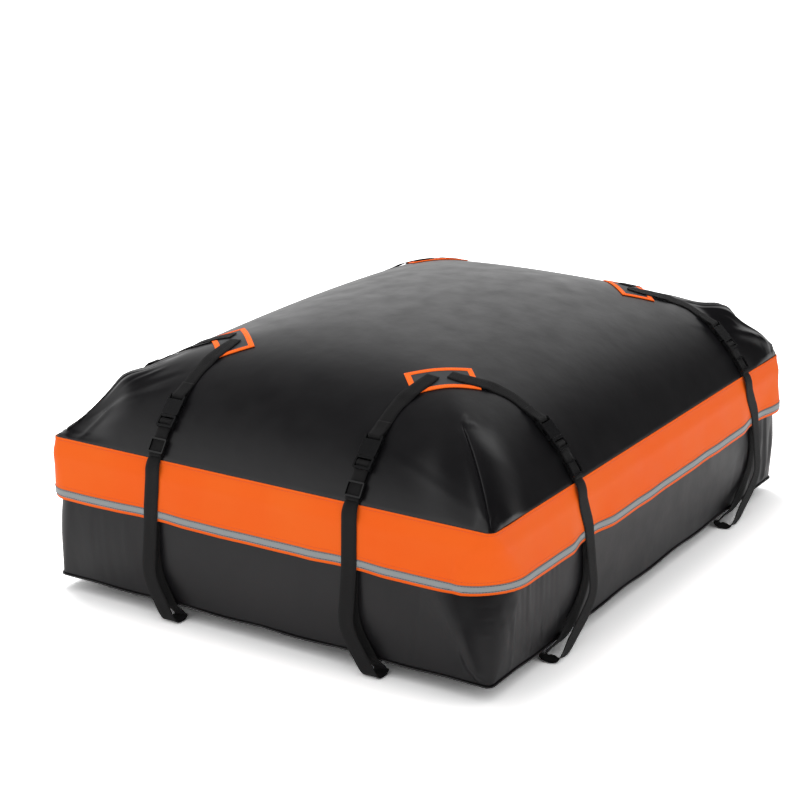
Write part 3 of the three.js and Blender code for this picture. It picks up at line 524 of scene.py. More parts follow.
def make_gathers():
    """Folds in the tub's wall: corner, whether on the end, distance from the corner at the zip and
    at the base, how much of the wall it crosses, width, height."""
    rng = np.random.default_rng(7)
    folds = []
    for (sx, sy), gather in CORNER_GATHER.items():
        flattened = 0.15 if (sx, sy) == (-1, -1) else 1.0
        for on_end in (True, False):
            for _ in range(int(4 + 12 * gather)):
                top = rng.uniform(0.01, 0.17)
                low, reach, width = top + rng.uniform(-0.03, 0.04), rng.uniform(0.3, 1.0), rng.uniform(3.5, 9)
                tall = rng.uniform(0.8, 2.6) * MM * (0.35 + gather) * (1 if rng.random() < 0.55 else -1)
                folds.append((sx, sy, on_end, top, low, reach, width * MM, tall * flattened))
    # Fine upright creases beside the slack near corner, and deep ones at the far right corner:
    # corner, places, then the ranges (mm) of the shifts at the zip and base, the width and the height
    for sy, places, *ranges in ((-1, np.linspace(0.045, 0.21, 11), (-4, 4), (-12, 3), (2.5, 4.5), (0.7, 1.3)),
                                (1, np.linspace(0.012, 0.13, 8), (-3, 3), (-14, 4), (5, 8), (3.4, 5.4))):
        for place in places:
            at_zip, at_base, width, tall = [rng.uniform(*limits) * MM for limits in ranges]
            folds.append((1, sy, False, place + at_zip, place + at_base, 0.97, width, tall))
    return folds


WALL_FOLDS = make_gathers()


def wall_relief(points, share):
    """Outward push of the wall, share being 0 at the base and 1 at the zip."""
    x, y = points[:, 0], points[:, 1]
    relief = np.zeros(len(points))
    on_end = (LENGTH / 2 - np.abs(y)) < (WIDTH / 2 - np.abs(x))
    away = np.where(on_end, WIDTH / 2 - np.abs(x), LENGTH / 2 - np.abs(y))
    ends = smooth(share, 0.0, 0.08) * (1 - smooth(share, 0.93, 1.0))
    for sx, sy, end, top, low, reach, width, tall in WALL_FOLDS:
        here = (np.sign(x) == sx) & (np.sign(y) == sy) & (on_end == end)
        if top > low:
            fade = smooth(share, 1.05 - reach, 1.25 - reach * 0.8)
        else:
            fade = 1 - smooth(share, reach - 0.2, reach)
        relief += here * tall * fade * ends * bell(away, low + (top - low) * share, width)
    # The broad crease is half as wide on the corner's side
    past = away - CREASE_FOOT - CREASE_LEAN * share
    fan = (CREASE_WIDTH + CREASE_FAN * share) * np.where(past > 0, 1, 0.5)
    fade = smooth(share, 0.0, 0.12) * (1 - smooth(share, 0.75, 0.95))
    relief += ((y < 0) & on_end & (x > 0)) * NEAR_CREASE * fade * bell(past, 0, fan)
    slow = LOAD_WAVE * np.sin(9 * x + 3 * share) * np.sin(7 * y + 1.3 + 4 * share)
    relief += slow * smooth(share, 0.0, 0.2) * (1 - smooth(share, 0.85, 1.0))
    clear = np.ones(len(points))
    for _, side, _, _, band_at, drift in STRAPS:
        at, inset = side_place(side, x, y)
        apart = np.abs(at - band_at - drift * max(0.0, 0.48 - 0.66 * share))
        on_side = 1 - smooth(inset, 30 * MM, 60 * MM)
        clear = np.minimum(clear, 1 - on_side * (1 - smooth(apart, 40 * MM, 62 * MM)))
    return np.where(relief > 0, relief * clear, relief)


# ---- Tub ----


# The base seam rises and dips a little between the corners: height, and radians per metre
SEAM_LIFT, SEAM_WAVE = 1.5 * MM, 31
BINDING_RADIUS, BINDING_OUT = 1.9 * MM, 1.1 * MM


def tub_levels():
    """(offset from the sides, height) of each ring, from the middle of the base to the zip."""
    core = WIDTH / 2 - 15 * MM - BASE_FLAT_INSET
    levels = [(-(BASE_FLAT_INSET + core * share), 0.0) for share in np.linspace(0.38, 1.0, 10)[::-1]]
    levels.append((-BASE_FLAT_INSET * 1.5, 0.0))
    # The base curves up to its seam, slowly at first
    for t in np.linspace(0, 1, 13):
        levels.append((-BASE_FLAT_INSET * (1 - t), BASE_SAG * (0.11 * t + 0.89 * t ** 3.2)))
    for t in np.linspace(0, 1, 53)[1:]:
        z = BASE_SAG + TUB_WALL * t
        levels.append((wall_bulge(z), z))
    return levels


def build_tub():
    rows = []
    for offset, z in tub_levels():
        plan, normal = outline(offset, corner_radii(z))
        share = (z - BASE_SAG) / TUB_WALL
        if share > 0:
            plan = plan + normal * wall_relief(plan, share)[:, None]
        row = at_height(plan, z)
        if 0 < z < BASE_SAG + 1 * MM:
            away = np.maximum([WIDTH / 2, LENGTH / 2] - np.abs(plan), 0).sum(axis=1)
            row[:, 2] += SEAM_LIFT * np.sin(away * SEAM_WAVE) * (z / BASE_SAG) * smooth(away, 0.02, 0.12)
        rows.append(row)
    count = len(rows[0])
    faces = flipped(ring_faces(len(rows), count) + ridge_faces(0, count))
    tub = make_mesh("bag_tub", np.concatenate(rows), faces, WALL_SHEET)
    thicken(tub, SHEET)
    return tub, rows


def round_tube(name, path, out, radius, material, sides=10):
    """A closed tube along a ring of points; out is the outward normal in plan at each point."""
    rows = []
    for k in range(sides):
        angle = 2 * math.pi * k / sides
        rows.append(path + at_height(out * math.cos(angle), math.sin(angle)) * radius)
    return make_mesh(name, np.concatenate(rows), ring_faces(sides, len(path), closed=True), material)


tub, tub_rows = build_tub()
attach(tub, "bag")
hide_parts("base_tub")

# The seam between the base panel and the walls is bound with a folded strip, which shows as a bead
seam_row = next(i for i, (_, z) in enumerate(tub_levels()) if z > BASE_SAG - 0.01 * MM)
seam_out = outline(0, corner_radii(BASE_SAG))[1]
binding = round_tube("base_seam_binding", tub_rows[seam_row] + at_height(seam_out, 0) * BINDING_OUT,
                     seam_out, BINDING_RADIUS, BLACK_SHEET)
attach(binding, "bag")


# ---- Lid ----

# Rows of the lid from its edge to the ridge: from, to, count
LID_ROWS = [(0, 0.012, 5), (0.012, 0.16, 34), (0.16, 0.3, 18), (0.3, WIDTH / 2 - MM, 14)]


def build_lid():
    rows = [at_height(outline(0, corner_radii(z))[0], z) for z in np.linspace(LID_EDGE, LID_SEAM, 8)]
    for inset in np.concatenate([np.linspace(*span)[1:] for span in LID_ROWS]):
        plan, _ = outline(-inset, [SEAM_CORNER] * 4)
        x, y = plan[:, 0], plan[:, 1]
        rows.append(lid_point(x, y, lid_relief(x, y)))
    count = len(rows[0])
    faces = flipped(ring_faces(len(rows), count)) + ridge_faces((len(rows) - 1) * count, count)
    lid = make_mesh("bag_lid", np.concatenate(rows), faces, BLACK_SHEET)
    thicken(lid, SHEET)
    return lid


lid = build_lid()
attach(lid, "bag")
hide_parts("top_cover")


# ---- Flap and tape ----

FLAP_WAVE = 0.9 * MM
# How far the hem stands off at the right side and elsewhere
RIGHT_FLARE, FLARE = 9.5 * MM, 5 * MM


def flap_ring(offset, z):
    """Points and outward normals round the flap's sheet at one height, where it waves and flares."""
    plan, normal = outline(offset, corner_radii(z))
    drop = smooth(LID_SEAM - z, 0.02, FLAP_DROP)
    x, y = plan[:, 0], plan[:, 1]
    wave = np.sin(23 * x + 5 * y) + 0.6 * np.sin(41 * y - 9 * x + 1) + 0.4 * np.sin(67 * (x + y))
    clear = np.ones(len(plan))
    for _, side, _, _, band_at, _ in STRAPS:
        at, inset = side_place(side, x, y)
        clear = np.minimum(clear, np.where(inset < 60 * MM, smooth(np.abs(at - band_at), 18 * MM, 80 * MM), 1))
    flare = np.where(x > WIDTH / 2 - 60 * MM, RIGHT_FLARE, FLARE)
    off = (FLAP_WAVE * wave * drop + flare * drop ** 1.5) * clear
    return plan + normal * off[:, None], normal


def build_flap():
    """The flap lies flat at its seam, bends out over the zip and hangs straight to its hem."""
    bend = 3.6 * FLAP_STANDOFF
    hem = 0.2 * LID_WALL
    root = TOUCH + 1.4 * FLAP_SHEET
    profile = [(TOUCH + FLAP_SHEET, LID_SEAM - TOUCH), (TOUCH + 1.15 * FLAP_SHEET, LID_SEAM - 0.6 * hem),
               (root, LID_SEAM - hem)]
    for t in np.linspace(0, 1, 10)[1:]:
        run = 0.5 * t * t * (3 - 2 * t) + 0.5 * math.sin(t * math.pi / 2)
        profile.append((root + (FLAP_FACE - root) * run, LID_SEAM - hem - bend * t))
    profile += [(FLAP_FACE, z) for z in np.linspace(LID_SEAM - hem - bend, FLAP_BOTTOM, 15)[1:]]
    rows = [at_height(flap_ring(offset, z)[0], z) for offset, z in profile]
    flap = make_mesh("storm_flap", np.concatenate(rows), ring_faces(len(rows), len(rows[0])), ORANGE_SHEET)
    thicken(flap, FLAP_SHEET)
    return flap


flap = build_flap()
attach(flap, "bag")
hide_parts("zip_flap")


def build_tape():
    heights = np.linspace(tape_high.z, tape_low.z, 4)
    rows = [at_height(flap_ring(TAPE_FACE, z)[0], z) for z in heights]
    count = len(rows[0])
    steps = np.linalg.norm(np.roll(rows[0], -1, 0) - rows[0], axis=1)
    run = np.concatenate([[0], np.cumsum(steps)[:-1]]) / MM
    uv = np.concatenate([np.column_stack([np.full(count, (tape_high.z - z) / MM), run]) for z in heights])
    tape = make_mesh("reflective_band", np.concatenate(rows), ring_faces(len(rows), count), TAPE, uv)
    thicken(tape, TAPE_SHEET)
    return tape


tape = build_tape()
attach(tape, "bag")
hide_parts("reflective_tape")


# ---- Stitching ----

FLAP_THREAD, PATCH_THREAD = 0.7 * MM, 0.55 * MM
FLAP_PITCH, FLAP_GAP = 5 * MM, 1.2 * MM


def stitches(name, pairs, normals, thickness, material):
    """A row of sewn stitches: one small capped thread between each pair of points."""
    # Where each ring of a thread stands along it, and its share of the thickness
    ring = [(0.0, 0.55), (0.16, 1.0), (0.84, 1.0), (1.0, 0.55)]
    sides = 6
    verts, faces = [], []
    for (start, end), normal in zip(pairs, normals):
        way = end - start
        span = np.linalg.norm(way)
        way = way / span
        across = np.cross(way, normal)
        base = len(verts)
        for at, size in ring:
            middle = start + way * span * at
            sink = -0.25 * thickness if size < 1 else 0.0
            for k in range(sides):
                angle = 2 * math.pi * k / sides
                spoke = across * math.cos(angle) + normal * math.sin(angle)
                verts.append(middle + spoke * thickness / 2 * size + normal * sink)
        for r in range(len(ring) - 1):
            for k in range(sides):
                j = (k + 1) % sides
                a, b = base + r * sides, base + (r + 1) * sides
                faces.append((a + k, a + j, b + j, b + k))
        faces.append(tuple(base + k for k in reversed(range(sides))))
        faces.append(tuple(base + (len(ring) - 1) * sides + k for k in range(sides)))
    return make_mesh(name, verts, faces, material)


def stitch_line(path, normals, pitch, gap):
    """Stitches every pitch along a path, with a gap between them."""
    steps = np.linalg.norm(np.diff(path, axis=0), axis=1)
    run = np.concatenate([[0], np.cumsum(steps)])
    count = max(int(run[-1] / pitch), 1)
    pairs, outs = [], []
    for i in range(count):
        ends = [i * run[-1] / count + gap / 2, (i + 1) * run[-1] / count - gap / 2]
        a, b = [np.array([np.interp(e, run, path[:, k]) for k in range(3)]) for e in ends]
        n = np.array([np.interp((ends[0] + ends[1]) / 2, run, normals[:, k]) for k in range(3)])
        pairs.append((a, b))
        outs.append(n / np.linalg.norm(n))
    return pairs, outs


def ring_stitches(name, offset, z, material):
    """A row of stitches right round the flap at one height."""
    plan, normal = flap_ring(offset, z)
    path, outs = at_height(plan, z), at_height(normal, 0)
    pairs, normals = stitch_line(np.concatenate([path, path[:1]]), np.concatenate([outs, outs[:1]]),
                                 FLAP_PITCH, FLAP_GAP)
    row = stitches(name, pairs, normals, FLAP_THREAD, material)
    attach(row, "bag")
    return row


flap_rows = [
    ring_stitches("flap_top_stitches", TOUCH + 1.3 * FLAP_SHEET + 0.1 * MM, LID_SEAM - 4.2 * MM, ORANGE_THREAD),
    ring_stitches("flap_hem_stitches", FLAP_FACE + 0.1 * MM, tape_high.z + 5 * MM, ORANGE_THREAD),
    ring_stitches("tape_upper_stitches", TAPE_FACE + 0.1 * MM, tape_high.z - 1.3 * MM, BLACK_THREAD),
    ring_stitches("tape_lower_stitches", TAPE_FACE + 0.1 * MM, tape_low.z + 1.3 * MM, BLACK_THREAD),
]


# ---- Patches ----


def patch_place(sx, sy, p, q, height):
    """A place on a patch: p runs down the hip towards the corner, q across the hip."""
    x = sx * (WIDTH / 2 - PATCH_INSET) + (sx * p - sy * q) / math.sqrt(2)
    y = sy * (LENGTH / 2 - PATCH_INSET) + (sy * p + sx * q) / math.sqrt(2)
    return lid_point(x, y, height)


# The piping overhangs the patch's edge; its profile is (distance in from its own edge, height)
PIPING_OUT, PIPING_SHEET = 0.6 * MM, 0.3 * MM
PIPING = [(0.0, LAY), (0.2 * MM, PATCH_TOP + 0.15 * MM), (1.2 * MM, PATCH_TOP + 0.45 * MM),
          (5.0 * MM, PATCH_TOP + 0.5 * MM), (8.4 * MM, PATCH_TOP + 0.4 * MM), (9.5 * MM, PATCH_TOP - 0.1 * MM)]
# The rows of stitches: distances in from the piping's edge, height, pitch and gap
PATCH_SEAMS, SEAM_HEIGHT = (2.4 * MM, 7.0 * MM), PATCH_TOP + 0.62 * MM
SEAM_PITCH, SEAM_GAP = 4.5 * MM, 1.1 * MM


def build_patch(name, sx, sy):
    half = np.array([PATCH_WIDTH, PATCH_LENGTH]) / 2
    count = 33
    steps = np.linspace(-1, 1, count)
    p, q = [m.ravel() for m in np.meshgrid(steps * half[0], steps * half[1])]
    edge = np.minimum(half[0] - np.abs(p), half[1] - np.abs(q))
    # The panel sinks a little inside the piping and at its very edge
    sunk = PATCH_TOP - 0.35 * MM * smooth(edge, 8.5 * MM, 10 * MM)
    sunk = sunk - 0.3 * MM * (1 - smooth(edge, 0, 1.5 * MM))
    faces = [(r * count + i, r * count + i + 1, (r + 1) * count + i + 1, (r + 1) * count + i)
             for r in range(count - 1) for i in range(count - 1)]
    panel = make_mesh(f"patch_{name}", patch_place(sx, sy, p, q, sunk), faces, PATCH_PANEL)
    thicken(panel, PATCH_SHEET)

    around = np.linspace(-1, 1, 27)[:-1]
    loop = np.array([[(t, -1), (1, t), (-t, 1), (-1, -t)][turn] for turn in range(4) for t in around])

    def round_patch(places, inward, height):
        at = places * (half + PIPING_OUT - inward)
        return patch_place(sx, sy, at[:, 0], at[:, 1], np.full(len(at), height))

    rows = [round_patch(loop, inward, height) for inward, height in PIPING]
    trim = make_mesh(f"patch_border_{name}", np.concatenate(rows), flipped(ring_faces(len(rows), len(loop))),
                     ORANGE_SHEET)
    thicken(trim, PIPING_SHEET)
    pairs, outs = [], []
    for inward in PATCH_SEAMS:
        path = round_patch(np.concatenate([loop, loop[:1]]), inward, SEAM_HEIGHT)
        more = stitch_line(path, lid_normal(path[:, 0], path[:, 1]), SEAM_PITCH, SEAM_GAP)
        pairs += more[0]
        outs += more[1]
    sewn = stitches(f"patch_stitches_{name}", pairs, outs, PATCH_THREAD, ORANGE_THREAD)
    for piece in (panel, trim, sewn):
        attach(piece, "bag")
    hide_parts(f"corner_patch_{name}")


for patch_name, patch_x, patch_y in (("front_left", -1, -1), ("front_right", 1, -1),
                                     ("back_left", -1, 1), ("back_right", 1, 1)):
    build_patch(patch_name, patch_x, patch_y)


# ---- Straps ----


def catmull_rom(points, per_span):
    """The centripetal curve that the CAD's straps follow."""
    pts = [np.asarray(p, float) for p in points]
    pts = [2 * pts[0] - pts[1]] + pts + [2 * pts[-1] - pts[-2]]
    out = []
    spans = len(pts) - 3
    for s in range(spans):
        p0, p1, p2, p3 = pts[s:s + 4]
        d0, d1, d2 = [max(float(np.linalg.norm(b - a)) ** 0.5, 1e-6)
                      for a, b in ((p0, p1), (p1, p2), (p2, p3))]
        t1 = ((p1 - p0) / d0 - (p2 - p0) / (d0 + d1) + (p2 - p1) / d1) * d1
        t2 = ((p2 - p1) / d1 - (p3 - p1) / (d1 + d2) + (p3 - p2) / d2) * d1
        for k in range(per_span + (1 if s == spans - 1 else 0)):
            t = k / per_span
            out.append(p1 + t1 * t + (-3 * p1 + 3 * p2 - 2 * t1 - t2) * t * t
                       + (2 * p1 - 2 * p2 + t1 + t2) * t ** 3)
    return np.array(out)


def webbing(name, node, body, stations, per_span, widths):
    """A flat strap along (point, across) stations, with its width at each one."""
    path = catmull_rom([p for p, _ in stations], per_span)
    tangent = np.gradient(path, axis=0)
    tangent /= np.linalg.norm(tangent, axis=1)[:, None]
    share = np.linspace(0, len(stations) - 1, len(path))
    sides = np.array([a for _, a in stations])
    across = np.column_stack([np.interp(share, range(len(stations)), sides[:, k]) for k in range(3)])
    across -= tangent * np.sum(across * tangent, axis=1)[:, None]
    across /= np.linalg.norm(across, axis=1)[:, None]
    face = np.cross(tangent, across)
    halves, thick = np.interp(share, range(len(stations)), widths) / 2, WEB_SHEET / 2
    # The cross-section as (share of the half width, height), with its edges rounded
    flat = [-0.96, -0.576, -0.192, 0.192, 0.576, 0.96]
    profile = [(x, thick) for x in reversed(flat)] + [(-1, 0.3 * thick), (-1, -0.3 * thick)]
    profile += [(x, -thick) for x in flat] + [(1, -0.3 * thick), (1, 0.3 * thick)]
    run = np.concatenate([[0], np.cumsum(np.linalg.norm(np.diff(path, axis=0), axis=1))])
    points, uv = [], []
    for p, a, f, s, half in zip(path, across, face, run, halves):
        for x, z in profile:
            points.append(p + a * x * half + f * z)
            uv.append(((x * half + WEB_WIDTH / 2) / MM, s / MM + (0.0 if z > 0 else 1.2)))
    count = len(profile)
    faces = flipped(ring_faces(len(path), count))
    faces.append(tuple(reversed(range(count))))
    faces.append(tuple(range(len(points) - count, len(points))))
    strap = make_mesh(name, points, faces, WEBBING, uv)
    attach(strap, body)
    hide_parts(node)


def wall_point(side, at, offset, z):
    """A place near a wall: at along it, offset out from it."""
    out, along, reach, _ = SIDES[side]
    return along * at + out * (reach + offset) + UP * z


def lid_station(side, at, inset, height):
    """(point, across) of a strap that lies on the lid."""
    flat = wall_point(side, at, -inset, 0)
    normal = lid_normal(flat[0], flat[1])
    across = np.cross(SIDES[side][0], UP)
    across = across - normal * across.dot(normal)
    return lid_point(flat[0], flat[1], height), across / np.linalg.norm(across)


def lid_frame(side, at, inset):
    """(across, down, away, origin) of the frame that touches the lid there."""
    step = 2 * MM
    high, low = wall_point(side, at, -inset - step, 0), wall_point(side, at, -inset + step, 0)
    fall = lid_height(high[0], high[1]) - lid_height(low[0], low[1])
    down = SIDES[side][0] * 2 * step - UP * fall
    down = down / np.linalg.norm(down)
    across = np.cross(SIDES[side][0], UP)
    origin = wall_point(side, at, -inset, 0)
    origin[2] = lid_height(origin[0], origin[1])
    return across, down, np.cross(across, down), origin


def frame_station(held, down, height):
    """(point, across) of a strap in a clip, in the clip's frame."""
    across, way, away, origin = held
    return origin + way * down + away * height, across


# Heights of the layers of webbing in a plug and of its bar, and places down the slope
CLIP_BASE = LAY + WEB_SHEET + FIT
RETURN_LAYER = CLIP_BASE + 0.1 * MM + WEB_SHEET / 2
BAR_BOTTOM = RETURN_LAYER + WEB_SHEET / 2 + FIT
UPPER_LAYER = BAR_BOTTOM + WEB_SHEET / 2
OVER_BAR = BAR_BOTTOM + BAR + SIDE_FIT + WEB_SHEET / 2
PLUG_START = (HOUSING_LENGTH - PLUG_LENGTH) / 2
PLUG_END = PLUG_START + FIT + PLUG_LENGTH
HOUSING_START = PLUG_START - HOUSING_LENGTH
HOUSING_BAR_BOTTOM = LAY + 0.1 * MM + WEB_SHEET + 3.2 * FIT
HOUSING_BAR_TOP = HOUSING_BAR_BOTTOM + BAR + 0.4 * MM
HOUSING_BAR_END = HOUSING_START + END_BAR
# The ends of a patch's straps are sewn this far further in on it, and towards the bag's middle
SEWN_IN, SEWN_ASIDE = 9 * MM, 14 * MM


def upper_route(side, patch_at, clip_at, buckle):
    """From the patch down the lid, up round the housing's bar and back over itself."""
    over_patch = PATCH_TOP + SIDE_FIT + WEB_SHEET / 2
    patch_edge = PATCH_INSET - (PATCH_LENGTH + PATCH_WIDTH) / 2 / math.sqrt(2)
    start = PATCH_INSET - STRAP_END_GAP + SEWN_IN
    start_at = patch_at - math.copysign(SEWN_ASIDE, patch_at)
    end = BUCKLE_INSET + 1.56 * HOUSING_LENGTH
    lift = HOUSING_BAR_BOTTOM - FIT - WEB_SHEET / 2
    stations = []
    for share in np.linspace(0, 1, 8):
        inset = start + (end - start) * share
        at = start_at + (clip_at - start_at) * share * share * (3 - 2 * share)
        height = over_patch if inset > patch_edge - WEB_WIDTH / 2 else WEB_MIDDLE
        stations.append(lid_station(side, at, inset, height))
    half = (HOUSING_BAR_TOP - HOUSING_BAR_BOTTOM) / 2
    turn = HOUSING_BAR_END + SLOT / 2
    over = HOUSING_BAR_TOP + SIDE_FIT + WEB_SHEET / 2
    for down, height in ((HOUSING_START - 2 * MM, lift - 0.8 * MM), (HOUSING_BAR_END, lift - 0.2 * MM),
                         (turn, HOUSING_BAR_BOTTOM + 0.3 * half), (turn + 0.2 * MM, HOUSING_BAR_TOP - 0.3 * half),
                         (HOUSING_BAR_END, over), ((HOUSING_START + HOUSING_BAR_END) / 2 - MM, over + 0.1 * MM),
                         (HOUSING_START - 3 * MM, over - 1.2 * MM)):
        stations.append(frame_station(buckle, down, height))
    fold = WEB_MIDDLE + WEB_SHEET + FIT
    stations.append(lid_station(side, clip_at, BUCKLE_INSET + 0.9 * HOUSING_LENGTH, fold + WEB_SHEET))
    stations.append(lid_station(side, clip_at, BUCKLE_INSET + 1.2 * HOUSING_LENGTH, fold))
    return stations


def adjuster_route(buckle, glide):
    """Up through the glide, over the plug's bar and back down under itself."""
    over_bar = BAR_BOTTOM + FIT + WEB_SHEET / 2
    reach = GLIDE_LENGTH / 2
    end_start = PLUG_END - 4 * MM
    bar_end = end_start - SLOT
    bar_start = bar_end - 3.5 * MM
    slot_middle = bar_start - SLOT / 2
    in_glide = [(reach + 5 * MM, over_bar), (0, over_bar), (-reach - 10 * MM, over_bar)]
    in_plug = [(PLUG_END + MM, UPPER_LAYER), (end_start, UPPER_LAYER),
               (end_start - 0.4 * SLOT, UPPER_LAYER + 0.4 * MM), (bar_end + 0.25 * SLOT, OVER_BAR - 0.4 * MM),
               ((bar_start + bar_end) / 2, OVER_BAR), (bar_start - 0.2 * SLOT, OVER_BAR - 0.4 * MM),
               (slot_middle - 0.4 * MM, (OVER_BAR + RETURN_LAYER) / 2),
               (slot_middle + 0.3 * MM, RETURN_LAYER + 0.6 * MM), (bar_start, RETURN_LAYER),
               (PLUG_END + 4 * MM, RETURN_LAYER)]
    return [frame_station(held, down, height) for held, places in ((glide, in_glide), (buckle, in_plug))
            for down, height in places]


def loop_route(side, drift, band_at, clip_at):
    """From the seam under the flap down the wall, along the ground and up over the flap to the glide."""
    across = np.cross(SIDES[side][0], UP)
    on_wall = LAY + WEB_SHEET / 2
    ground = TOUCH + WEB_SHEET / 2
    over_flap = FLAP_FACE + TOUCH + TAPE_SHEET + TOUCH + WEB_SHEET / 2
    sewn_top = FLAP_BOTTOM + 22 * MM
    stand_off = 11 * MM
    low = TUB_WALL / 4
    route = [
        (wall_bulge(sewn_top) + on_wall, sewn_top),
        (wall_bulge(FLAP_BOTTOM) + on_wall, FLAP_BOTTOM - 6 * MM),
        (wall_bulge(2 * low) + on_wall + 0.5 * MM, BASE_SAG + 1.5 * low),
        (WALL_BULGE + on_wall, BASE_SAG + 0.7 * low),
        (on_wall + 5 * MM, BASE_SAG + 2 * MM),
        (-5 * MM, 0.44 * BASE_SAG),
        (-8 * MM, ground + 6 * MM),
        (0.0, ground + 2.4 * MM),
        (1.2 * over_flap, ground + 1.6 * MM),
        (over_flap + 0.75 * stand_off, ground + 8 * MM),
        (over_flap + stand_off, BASE_SAG + 0.1 * low),
        (over_flap + 0.85 * stand_off, BASE_SAG + low),
        (over_flap + 0.45 * stand_off, BASE_SAG + 2 * low),
        (over_flap + 0.08 * stand_off, FLAP_BOTTOM - 6 * MM),
        (over_flap, FLAP_BOTTOM + 24 * MM),
        (over_flap, FLAP_BOTTOM + 48 * MM),
        (over_flap, LID_EDGE - 4 * MM),
        (over_flap - 0.1 * FLAP_STANDOFF, LID_SEAM - 0.48 * LID_WALL),
    ]
    gaps = [math.hypot(b[0] - a[0], b[1] - a[1]) for a, b in zip(route, route[1:])]
    lowest = 7      # the place on the ground, where the loop has drifted furthest
    stations = []
    for i, (offset, z) in enumerate(route):
        distance = sum(gaps[min(i, lowest):max(i, lowest)])
        slide = (1 + math.cos(math.pi * min(2 * distance / TUB_WALL, 1))) / 2
        lean = smooth(z, FLAP_BOTTOM, LID_SEAM - LID_WALL / 2) * (clip_at - band_at) if i > lowest else 0.0
        stations.append((wall_point(side, band_at + lean + drift * slide, offset, z), across))
    stations.append((wall_point(side, clip_at, 0.75 * FLAP_STANDOFF + WEB_SHEET, LID_SEAM - 5 * MM), across))
    stations.append((wall_point(side, clip_at, FLAP_SHEET + WEB_SHEET, LID_SEAM + 1.5 * MM), across))
    for inset in (5 * MM, GLIDE_INSET, GLIDE_INSET + 0.4 * GLIDE_LENGTH):
        stations.append(lid_station(side, clip_at, inset, WEB_MIDDLE))
    return stations


def finished_plastic(name, node, body, bevel):
    """A moulded clip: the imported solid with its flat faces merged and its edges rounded."""
    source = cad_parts[node]
    mesh = source.data.copy()
    mesh.name = name
    shape = bmesh.new()
    shape.from_mesh(mesh)
    bmesh.ops.remove_doubles(shape, verts=shape.verts, dist=0.005 * MM)
    bmesh.ops.dissolve_limit(shape, angle_limit=math.radians(1.5), verts=shape.verts, edges=shape.edges)
    shape.to_mesh(mesh)
    shape.free()
    mesh.materials.clear()
    mesh.materials.append(ACETAL)
    mesh.polygons.foreach_set("use_smooth", [True] * len(mesh.polygons))
    piece = bpy.data.objects.new(name, mesh)
    scene.collection.objects.link(piece)
    edges = piece.modifiers.new("Moulded edges", "BEVEL")
    edges.width = bevel
    edges.segments = 2
    edges.limit_method = "ANGLE"
    edges.angle_limit = math.radians(25)
    edges.use_clamp_overlap = True
    faces = piece.modifiers.new("Flat faces", "WEIGHTED_NORMAL")
    faces.weight = 100
    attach(piece, body)
    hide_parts(node)


# Loose webbing lies a little wider than where the clips hold it, and narrower where it is sewn
SEWN_WIDTHS = [24 * MM, 26.5 * MM]
LOOSE_UPPER, LOOSE_LOOP = 28 * MM, 28.5 * MM
# Radius of the moulded edges of the clips
HOUSING_EDGE, PLUG_EDGE, GLIDE_EDGE = 0.8 * MM, 0.6 * MM, 0.8 * MM

for name, side, patch_at, clip_at, band_at, drift in STRAPS:
    buckle, glide = lid_frame(side, clip_at, BUCKLE_INSET), lid_frame(side, clip_at, GLIDE_INSET)
    upper = upper_route(side, patch_at, clip_at, buckle)
    widths = SEWN_WIDTHS + [LOOSE_UPPER] * 4 + [26 * MM] + [WEB_WIDTH] * (len(upper) - 7)
    webbing(f"upper_webbing_{name}", f"upper_strap_{name}", "bag", upper, 5, widths)
    loop = loop_route(side, drift, band_at, clip_at)
    widths = [LOOSE_LOOP] * (len(loop) - 5) + [27 * MM, 26 * MM] + [WEB_WIDTH] * 3
    webbing(f"loop_webbing_{name}", f"loop_strap_{name}", "bag", loop, 8, widths)
    adjuster = adjuster_route(buckle, glide)
    webbing(f"adjuster_webbing_{name}", f"adjuster_web_{name}", f"clip_{name}", adjuster, 6,
            [WEB_WIDTH] * len(adjuster))
    finished_plastic(f"housing_{name}", f"buckle_housing_{name}", "bag", HOUSING_EDGE)
    finished_plastic(f"plug_{name}", f"buckle_plug_{name}", f"clip_{name}", PLUG_EDGE)
    finished_plastic(f"glide_bar_{name}", f"tri_glide_{name}", f"glide_{name}", GLIDE_EDGE)


# ---- Zip, hidden under the flap ----

# Faces of the zip in and out of the wall's line, half heights of the coil and of the slit between
# the tapes, and how far each way from the middle of the front the coil is parted
ZIP_FACE, ZIP_BACK = -0.1 * MM, -1.7 * MM
COIL_HALF, SLIT_HALF = 1.5 * MM, 1.7 * MM
PARTED = 0.34


